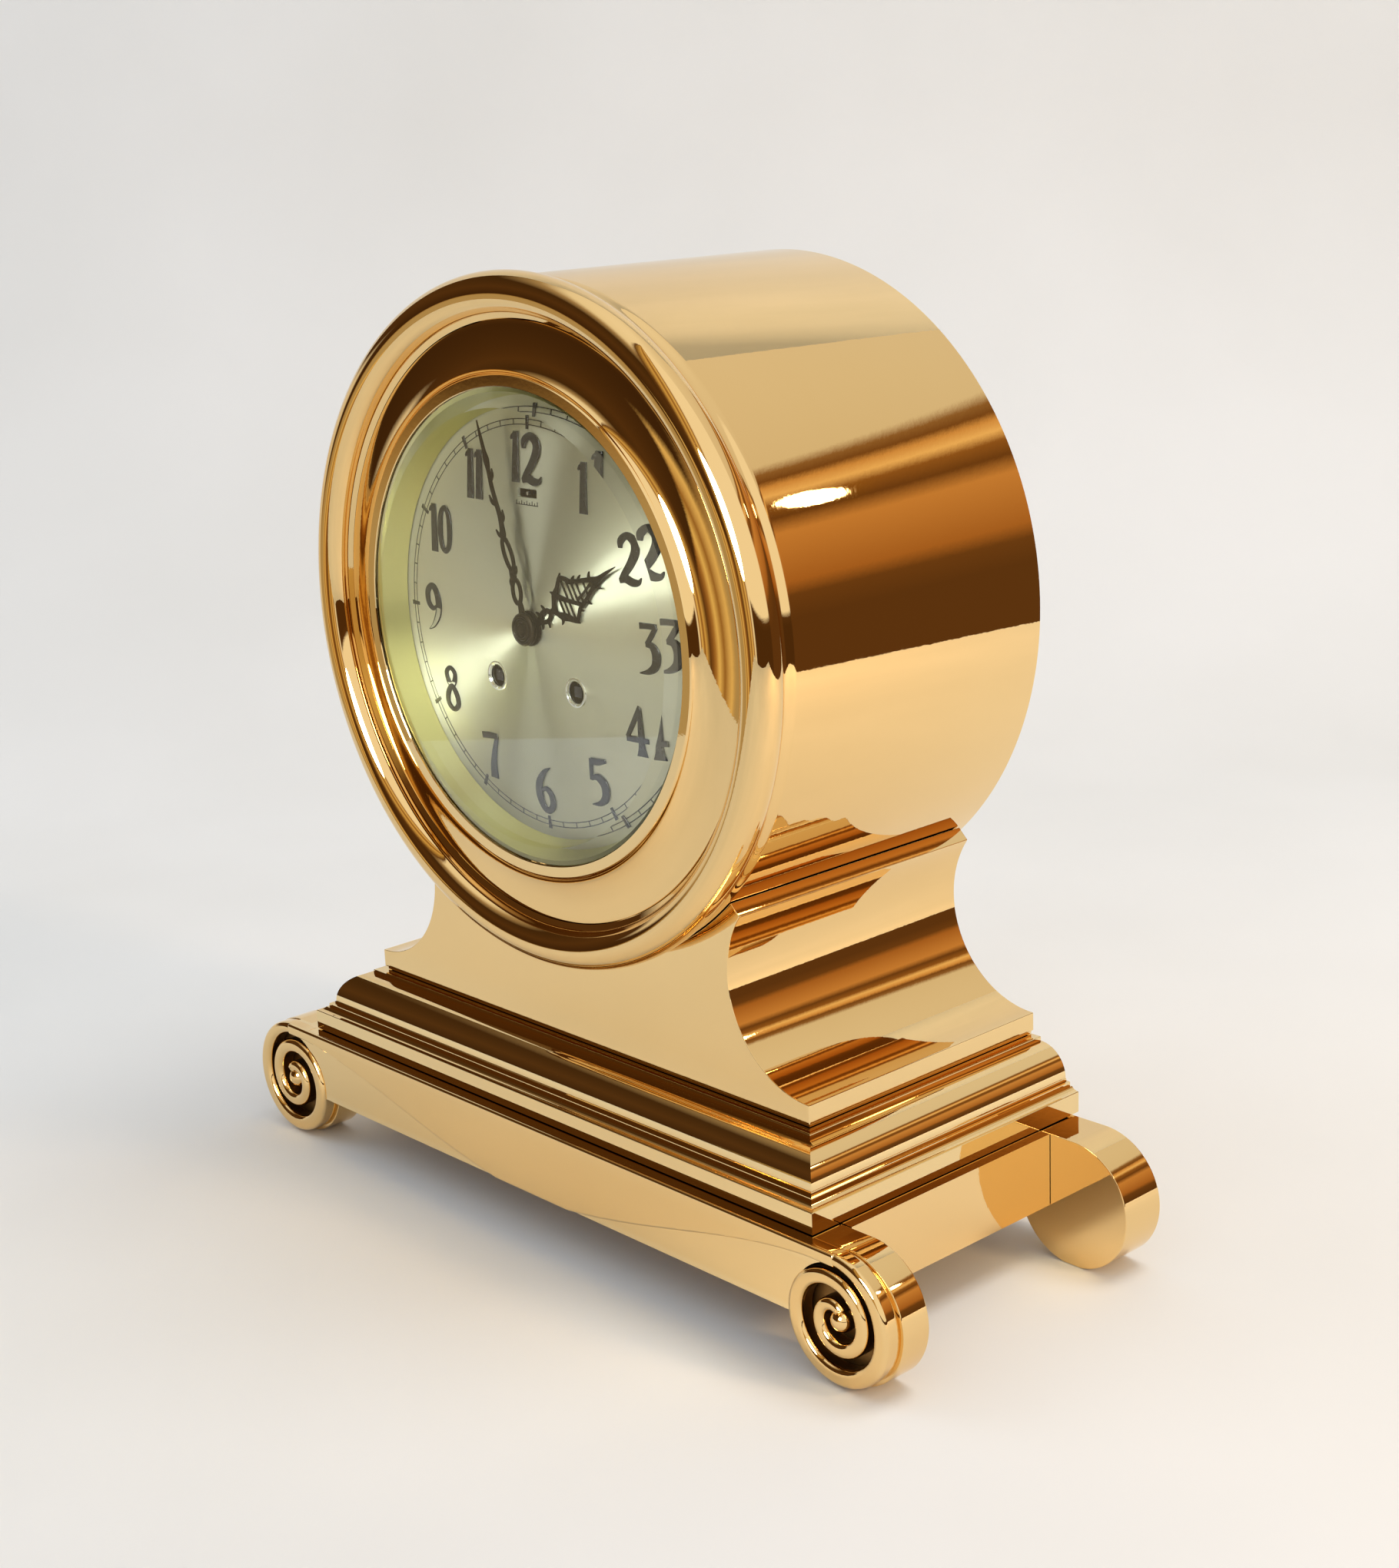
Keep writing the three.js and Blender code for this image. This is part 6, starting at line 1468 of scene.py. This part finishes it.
@dataclass
class Hands:
    """The two fretted hands and the round nut that holds them."""

    hour_back: float = -59.25
    minute_back: float = -60.95
    thickness: float = 0.7
    hour_angle: float = 60.5
    minute_angle: float = 344.0
    nut_back: float = -61.75
    nut_front: float = -63.65
    nut_radius: float = 6.2
    nut_chamfer: Flat = (0.5, 0.4)
    nut_face: Tuple[Flat, ...] = (
        (0.0, 0.9), (0.5, 0.35), (1.3, 0.2), (1.6, 0.5), (2.0, 0.5), (2.3, 0.1), (3.1, 0.0), (3.4, 0.35),
        (3.8, 0.35), (4.1, 0.05))
    edge: float = 0.1
    stroke_step: float = 0.015
    ring_places: int = 12

    def fret(self, name: str, strokes: Sequence[Drawn], angle: float, back: float) -> Piece:
        """Saw a hand out of sheet from its strokes.

        Args:
            name: the hand's name.
            strokes: (across, along, half width) strokes, with whether each is a ring.
            angle: the hand's angle in degrees clockwise from twelve.
            back: y of the sheet's back.

        Returns:
            The hand.
        """
        parts = []
        for i, (points, closed) in enumerate(strokes):
            placed = [(*on_face(across, out, angle), half) for across, out, half in points]
            parts.append(Bench.sheet(f"{name}_{i}", ribbon(placed, 8, closed), back,
                                     self.thickness - self.stroke_step * (i % 5), self.edge, 1))
        return Bench.join(parts)

    def loop(self, mid: float, long: float, wide: float, half: float, lean: float = 0.0) -> Drawn:
        """A pierced oval along the hand.

        Args:
            mid: its middle, from the axis.
            long: half of its length.
            wide: half of its width.
            half: half of its stroke's width.
            lean: how far its far end leans to the right.

        Returns:
            The stroke, a ring.
        """
        turns = [2 * math.pi * i / self.ring_places for i in range(self.ring_places)]
        return [(lean * math.cos(turn) + wide * math.sin(turn), mid + long * math.cos(turn), half)
                for turn in turns], True

    def minute_strokes(self) -> List[Drawn]:
        """Strokes of the slim minute hand.

        Returns:
            The strokes.
        """
        return [
            self.loop(0.0, 4.6, 4.6, 1.6),
            (((0, 5.5, 1.6), (0.3, 8.0, 1.4), (0.2, 10.4, 1.1)), False),
            self.loop(14.2, 4.4, 2.3, 0.85, 0.5),
            (((0.3, 18.2, 1.2), (0.0, 20.4, 1.7), (-0.3, 22.8, 1.1)), False),
            (((-0.2, 20.4, 1.3), (2.2, 21.4, 0.7), (3.2, 23.4, 0.1)), False),
            (((-0.2, 19.6, 1.2), (-2.0, 18.6, 0.6), (-2.6, 16.8, 0.1)), False),
            self.loop(28.4, 6.2, 2.1, 0.85, -0.6),
            (((-0.5, 34.2, 1.1), (-0.2, 36.2, 1.6), (0.2, 38.5, 1.25), (0.5, 43, 1.1), (0.1, 48, 1.0),
              (-0.3, 54, 0.95), (0.0, 60, 0.95), (0.2, 64, 1.5), (0.1, 67, 0.9), (0, 72, 0.65),
              (0, 79, 0.12)), False),
            (((-0.2, 35.4, 1.3), (-2.4, 36.2, 0.7), (-3.6, 38.4, 0.1)), False),
            (((0.4, 40.6, 1.1), (2.2, 41.8, 0.8), (2.7, 44.8, 0.1)), False),
            (((-0.1, 47.4, 1.0), (-2.0, 48.6, 0.7), (-2.8, 51.4, 0.1)), False),
            (((0.0, 56.5, 0.9), (1.7, 57.8, 0.6), (2.1, 60.4, 0.1)), False),
        ]

    def hour_strokes(self) -> List[Drawn]:
        """Strokes of the broad fretted hour hand.

        Returns:
            The strokes.
        """
        def thorn(across: float, out: float, reach: float, rise: float) -> Drawn:
            """A small pointed spur that stands off an edge."""
            bend = (across + 0.6 * reach, out + 0.45 * rise, 0.45)
            return ((across, out, 0.75), bend, (across + reach, out + rise, 0.1)), False

        def rib(left: float, right: float, out: float) -> Drawn:
            """A straight bar across the hand."""
            return ((left, out, 0.35), ((left + right) / 2, out, 0.28), (right, out, 0.35)), False

        strokes: List[Drawn] = [
            self.loop(0.0, 5.0, 5.0, 1.7),
            (((0, 6.0, 1.6), (0, 8.0, 1.3), (0, 9.2, 1.0)), False),
            self.loop(11.8, 3.0, 2.0, 0.85),
            (((0, 14.6, 1.1), (0, 16.6, 1.2), (0, 18.4, 1.3)), False),
            (((0, 17.6, 1.3), (-2.6, 19.0, 0.9), (-4.6, 20.8, 1.3), (-6.4, 23.6, 0.85), (-8.6, 26.2, 0.75),
              (-10.4, 28.4, 0.15)), False),
            (((0, 17.6, 1.3), (2.0, 18.9, 0.9), (3.9, 21.2, 1.5), (5.8, 24.2, 1.3), (8.0, 26.8, 0.8),
              (9.8, 28.8, 0.15)), False),
            (((-9.2, 27.2, 0.75), (-7.4, 29.8, 0.9), (-5.6, 31.6, 0.95), (-4.5, 34.4, 0.85),
              (-3.4, 37.6, 0.85), (-2.4, 40.6, 0.9), (-1.2, 43.6, 1.1), (0, 46.4, 1.2)), False),
            (((8.6, 27.6, 0.75), (6.8, 29.9, 0.7), (5.2, 31.8, 0.7), (4.6, 34.2, 0.9), (3.6, 37.4, 0.8),
              (2.4, 40.8, 0.8), (1.2, 43.8, 1.1), (0, 46.4, 1.2)), False),
            (((-4.4, 21.2, 1.1), (-2.2, 24.0, 1.0), (0.3, 27.4, 0.8), (2.6, 30.8, 0.75),
              (4.6, 34.0, 0.9)), False),
            (((1.8, 32.4, 0.6), (1.2, 36.5, 0.5), (0.2, 40.5, 0.6), (0, 45.0, 1.4), (0, 48.5, 0.95),
              (-0.1, 53.0, 0.6), (0, 58.0, 0.12)), False),
            thorn(-5.0, 33.0, -1.4, 2.2), thorn(-3.9, 36.4, -1.4, 2.2), thorn(-1.9, 42.2, -2.4, 1.8),
            thorn(-5.0, 20.6, -1.8, -1.4), thorn(3.8, 36.8, 2.6, 2.0), thorn(5.2, 31.4, 1.6, 1.8),
            thorn(1.4, 44.4, 2.3, 2.6), thorn(4.6, 20.6, 1.8, -1.6),
        ]
        strokes += [rib(*ends) for ends in (
            (-2.6, 4.6, 22.6), (-1.2, 6.2, 24.9), (-8.0, 8.0, 27.3), (-7.0, 1.9, 29.9), (-5.0, 3.4, 32.2),
            (-4.2, 4.2, 34.8), (-3.0, 3.0, 38.6))]
        for side in (-1, 1):
            strokes += [thorn(side * 1.6, 12.4, side * 3.0, -0.8), thorn(side * 1.2, 8.6, side * 2.4, -1.2)]
        return strokes

    def build(self) -> None:
        """Build and dress the hands and the nut."""
        hour = self.fret("hour_hand_dressed", self.hour_strokes(), self.hour_angle, self.hour_back)
        Bench.dress(hour, "hour_hand", Body.HOUR, Slot.DARK_HANDS, 40)
        minute = self.fret("minute_hand_dressed", self.minute_strokes(), self.minute_angle, self.minute_back)
        Bench.dress(minute, "minute_hand", Body.MINUTE, Slot.DARK_HANDS, 40)
        back, front, r = self.nut_back, self.nut_front, self.nut_radius
        inset, rise = self.nut_chamfer
        profile = [(0.0, back), (r - inset, back), (r, back - rise)]
        profile += [(r - inward, front + deep) for inward, deep in self.nut_face] + [(0.0, front)]
        nut = Bench.turned("hand_nut_dressed", profile, 72, False)
        Bench.dress(nut, "hand_nut", Body.MINUTE, Slot.DARK_HANDS, 35)


class CarriedOver:
    """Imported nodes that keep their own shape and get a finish."""

    @staticmethod
    def dress(record: Dict[str, object]) -> None:
        """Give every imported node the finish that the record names.

        Args:
            record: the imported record.
        """
        for part in record["subparts"]:
            node = bpy.data.objects.get(part["node"])
            if node is None:
                continue
            by_slot = Finishes.BY_SLOT[Slot(part["material_slot"])]
            finish = Finishes.BY_NODE.get(part["node"], by_slot)
            node.data.materials.clear()
            node.data.materials.append(finish.make())
        log.info("carried over nodes dressed: %d", len(record["subparts"]))


@dataclass(frozen=True)
class Room:
    """What polished metal mirrors and what shows through the glass.

    Heights run from the horizon at 0 to 1 overhead, and those of the dark wall from 0 underfoot. Turns run
    along the horizon, with the window's edge at 0.
    """

    dark: Stops = (
        (0.0, (0.5, 0.42, 0.28)), (0.42, (0.46, 0.36, 0.2)), (0.435, (0.34, 0.22, 0.09)),
        (0.45, (0.05, 0.023, 0.008)), (0.65, (0.09, 0.042, 0.013)), (0.81, (0.06, 0.03, 0.01)),
        (0.89, (0.4, 0.31, 0.2)), (0.94, (0.9, 0.88, 0.82)), (1.0, (0.96, 0.95, 0.92)))
    lit: Stops = (
        (0.0, (0.12, 0.052, 0.015)), (0.1, (0.16, 0.068, 0.018)), (0.16, (0.42, 0.17, 0.04)),
        (0.36, (0.62, 0.3, 0.09)), (0.42, (0.16, 0.065, 0.016)), (0.47, (0.3, 0.13, 0.03)),
        (0.5, (0.92, 0.62, 0.28)), (0.53, (0.7, 0.38, 0.13)), (0.55, (0.2, 0.085, 0.022)),
        (0.575, (0.3, 0.16, 0.06)), (0.6, (0.76, 0.7, 0.6)), (1.0, (0.85, 0.82, 0.76)))
    window: Stops = (
        (0.0, (0.08, 0.035, 0.01)), (0.04, (0.1, 0.045, 0.014)), (0.07, (1.0, 0.97, 0.9)),
        (1.0, (1.0, 0.98, 0.94)))
    stripes: Stops = (
        (0.0, (0.3, 0.19, 0.07)), (0.05, (0.8, 0.6, 0.27)), (0.1, (0.34, 0.18, 0.05)),
        (0.16, (0.82, 0.62, 0.26)), (0.22, (0.42, 0.23, 0.07)), (0.28, (0.24, 0.11, 0.03)),
        (0.36, (0.12, 0.055, 0.016)), (0.5, (0.7, 0.48, 0.17)), (0.58, (0.28, 0.13, 0.03)),
        (0.7, (0.85, 0.64, 0.27)), (0.78, (0.3, 0.14, 0.035)), (0.88, (1.0, 0.97, 0.9)),
        (1.0, (1.0, 0.98, 0.94)))
    whole_height: Flat = (-1.0, 1.0)
    lit_edge: Flat = (0.1, 0.5)
    window_turn: float = 20.0
    window_edge: Flat = (0.0, 0.12)
    stripes_span: Flat = (-1.35, 0.15)
    shelf_edge: Flat = (-0.9, -0.8)
    table_top: Flat = (0.0, -0.03)
    table_edge: Flat = (-1.31, -1.28)
    screen_edge: Flat = (-0.5, -0.65)
    screen_top: Flat = (0.12, 0.06)
    screen_tint: Colour = (0.74, 0.69, 0.6)

    def turn(self, lay: Nodes, where: Socket) -> Tuple[Socket, Socket]:
        """Turn of a direction from the window's edge.

        Args:
            lay: the layer of nodes.
            where: the direction.

        Returns:
            The turn, and the side of the window that the direction is on.
        """
        facing = lay.add("ShaderNodeVectorRotate", {
            "Vector": where, "Angle": math.radians(self.window_turn)}, rotation_type="Z_AXIS")
        ahead, aside, _ = lay.parts(facing.outputs["Vector"])
        excess = lay.number("SUBTRACT", ahead, lay.number("ABSOLUTE", aside))
        level = lay.add("ShaderNodeVectorMath", {0: where, 1: (1.0, 1.0, 0.0)}, operation="MULTIPLY")
        return lay.number("DIVIDE", excess, lay.length(level.outputs["Vector"])), aside

    def furnish(self, lay: Nodes) -> Socket:
        """Lay the room's nodes.

        Args:
            lay: the layer of nodes.

        Returns:
            The room's colour in any direction.
        """
        where = lay.add("ShaderNodeTexCoord").outputs["Generated"]
        x, y, z = lay.parts(where)
        turn, aside = self.turn(lay, where)
        dark = lay.ramp(lay.span(z, self.whole_height), self.dark)
        walls = lay.blend(lay.span(lay.number("ADD", x, y), self.lit_edge), dark, lay.ramp(z, self.lit))
        leftward = lay.number("ADD", x, lay.number("ABSOLUTE", y))
        screen = lay.number("MULTIPLY", lay.span(leftward, self.screen_edge), lay.span(z, self.screen_top))
        screened = lay.blend(screen, walls, (*self.screen_tint, 1.0))
        table = lay.number("MULTIPLY", lay.span(z, self.table_top), lay.span(turn, self.table_edge))
        striped = lay.number("MAXIMUM", lay.span(turn, self.shelf_edge), table)
        near = lay.number("MULTIPLY", striped, lay.number("LESS_THAN", aside, 0.0))
        stripes = lay.ramp(lay.span(turn, self.stripes_span), self.stripes)
        furnished = lay.blend(near, screened, stripes)
        return lay.blend(lay.span(turn, self.window_edge), furnished, lay.ramp(z, self.window))


@dataclass(frozen=True)
class Lamp:
    """A soft round lamp, which polished metal mirrors or which lights the rest."""

    name: str
    at: Point
    aim: Point
    size: float
    power: float
    tint: Colour
    mirrored: bool

    def hang(self) -> None:
        """Hang the lamp at its place and turn it to its aim."""
        bpy.ops.object.light_add(type="AREA", location=[v * MM for v in self.at])
        lamp = bpy.context.object
        lamp.name = self.name
        lamp.data.shape = "DISK"
        lamp.data.size = self.size * MM
        lamp.data.energy = self.power
        lamp.data.color = self.tint
        lamp.visible_glossy = self.mirrored
        lamp.visible_diffuse = not self.mirrored
        lamp.rotation_euler = (Vector(self.aim) - Vector(self.at)).to_track_quat("-Z", "Y").to_euler()


@dataclass
class Studio:
    """Pale paper sweep, plain soft light and the camera at the photograph's angle."""

    camera_at: Point = (710.71, -625.07, 433.25)
    lens: float = 57.06
    sensor: float = 36.0
    sight: float = 50.0
    yaw: float = 47.767
    pitch: float = 15.508
    roll: float = -2.365
    floor_far: float = 560.0
    floor_near: float = 1500.0
    floor_left: float = 840.0
    floor_right: float = 1050.0
    floor_gap: float = 0.05
    sweep: float = 420.0
    wall: float = 2300.0
    daylight: Colour = (0.57, 0.61, 0.68)
    glass_tint: Colour = (0.6, 0.66, 0.6)
    glass_share: float = 0.2
    paper_white: Colour = (1.0, 1.0, 1.0)
    lamps: Tuple[Lamp, ...] = (
        Lamp("soft_top", (600, 500, 1900), (0, 0, 150), 900, 13, (1.0, 0.98, 0.94), False),
        Lamp("soft_left", (-1300, -900, 1200), (0, 0, 150), 900, 3.5, (0.95, 0.98, 1.0), False),
        Lamp("warm_right", (1300, 300, 620), (450, 150, 0), 220, 6, (1.0, 0.68, 0.36), False),
        Lamp("hot_right", (1292, 1200, 1174), (150, -30, 200), 130, 0.42, (1.0, 0.86, 0.6), True),
        Lamp("bright_front", (450, -1400, 720), (0, 0, 245), 700, 26, (0.94, 1.0, 0.97), True))

    def camera(self) -> None:
        """Set the camera."""
        yaw, pitch, roll = (math.radians(v) for v in (self.yaw, self.pitch, self.roll))
        level = math.cos(pitch)
        ahead = Vector((-math.sin(yaw) * level, math.cos(yaw) * level, -math.sin(pitch)))
        right = ahead.cross(Vector((0, 0, 1))).normalized()
        up = right.cross(ahead)
        across = right * math.cos(roll) + up * math.sin(roll)
        upward = up * math.cos(roll) - right * math.sin(roll)
        turn = Matrix((across, upward, -ahead)).transposed().to_4x4()
        bpy.ops.object.camera_add()
        camera = bpy.context.object
        camera.name = "photo_camera"
        camera.matrix_world = Matrix.Translation(Vector(self.camera_at) * MM) @ turn
        camera.data.sensor_fit = "VERTICAL"
        camera.data.sensor_height = self.sensor
        camera.data.lens = self.lens
        camera.data.clip_end = self.sight
        bpy.context.scene.camera = camera

    def stage(self) -> None:
        """Lay the paper sweep, which rises behind the clock."""
        Bench.clear()
        far, near, left = self.floor_far, self.floor_near, self.floor_left
        profile = [(-near, 0.0), (0.0, 0.0), (far, 0.0)]
        profile += arc((far, self.sweep), self.sweep, -90, 0, 24)[1:]
        profile += [(far + self.sweep, self.wall)]
        yaw = math.radians(self.yaw)
        along = (-math.sin(yaw), math.cos(yaw))
        across = (math.cos(yaw), math.sin(yaw))
        width = left + self.floor_right
        line = [(d * along[0] - left * across[0], d * along[1] - left * across[1], z - self.floor_gap)
                for d, z in profile]
        paper = Bench.trace("paper_sweep", line, False)
        bpy.ops.mesh.extrude_region_move(TRANSFORM_OT_translate={
            "value": (width * across[0] * MM, width * across[1] * MM, 0)})
        Bench.close()
        bpy.ops.object.shade_smooth()
        paper.data.materials.append(Finishes.PAPER.make())

    def world(self) -> None:
        """Plain pale surroundings, with a room for what is mirrored or seen through the glass."""
        world = bpy.data.worlds.new("studio")
        bpy.context.scene.world = world
        world.use_nodes = True
        lay = Nodes(world.node_tree)
        ray = lay.add("ShaderNodeLightPath").outputs
        veil = lay.number("MULTIPLY", ray["Is Transmission Ray"], self.glass_share)
        room = lay.blend(veil, Room().furnish(lay), (*self.glass_tint, 1.0))
        bounced = lay.number("MAXIMUM", ray["Is Glossy Ray"], ray["Is Transmission Ray"])
        around = lay.blend(bounced, (*self.daylight, 1.0), room)
        seen = lay.blend(ray["Is Camera Ray"], around, (*self.paper_white, 1.0))
        lay.fill(world.node_tree.nodes["Background"], {"Color": seen, "Strength": 1.0})

    def build(self) -> None:
        """Set up the whole studio."""
        self.camera()
        self.stage()
        self.world()
        for lamp in self.lamps:
            lamp.hang()
        log.info("studio: %d lamps", len(self.lamps))


def main() -> None:
    """Build the studio and the clock's sub-assemblies in order."""
    logging.basicConfig(level=logging.INFO, format="%(name)s: %(message)s")
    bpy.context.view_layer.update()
    CarriedOver.dress(frame["record"])
    Studio().build()
    assemblies = (ScrollFrame(), BaseMoulding(), Pedestal(), DrumCase(), BezelAssembly(), DialPlate(),
                  Hands())
    for assembly in assemblies:
        assembly.build()
    Bench.clear()
    view = bpy.context.scene.view_settings
    view.view_transform = "Standard"


if __name__ == "__main__":
    main()
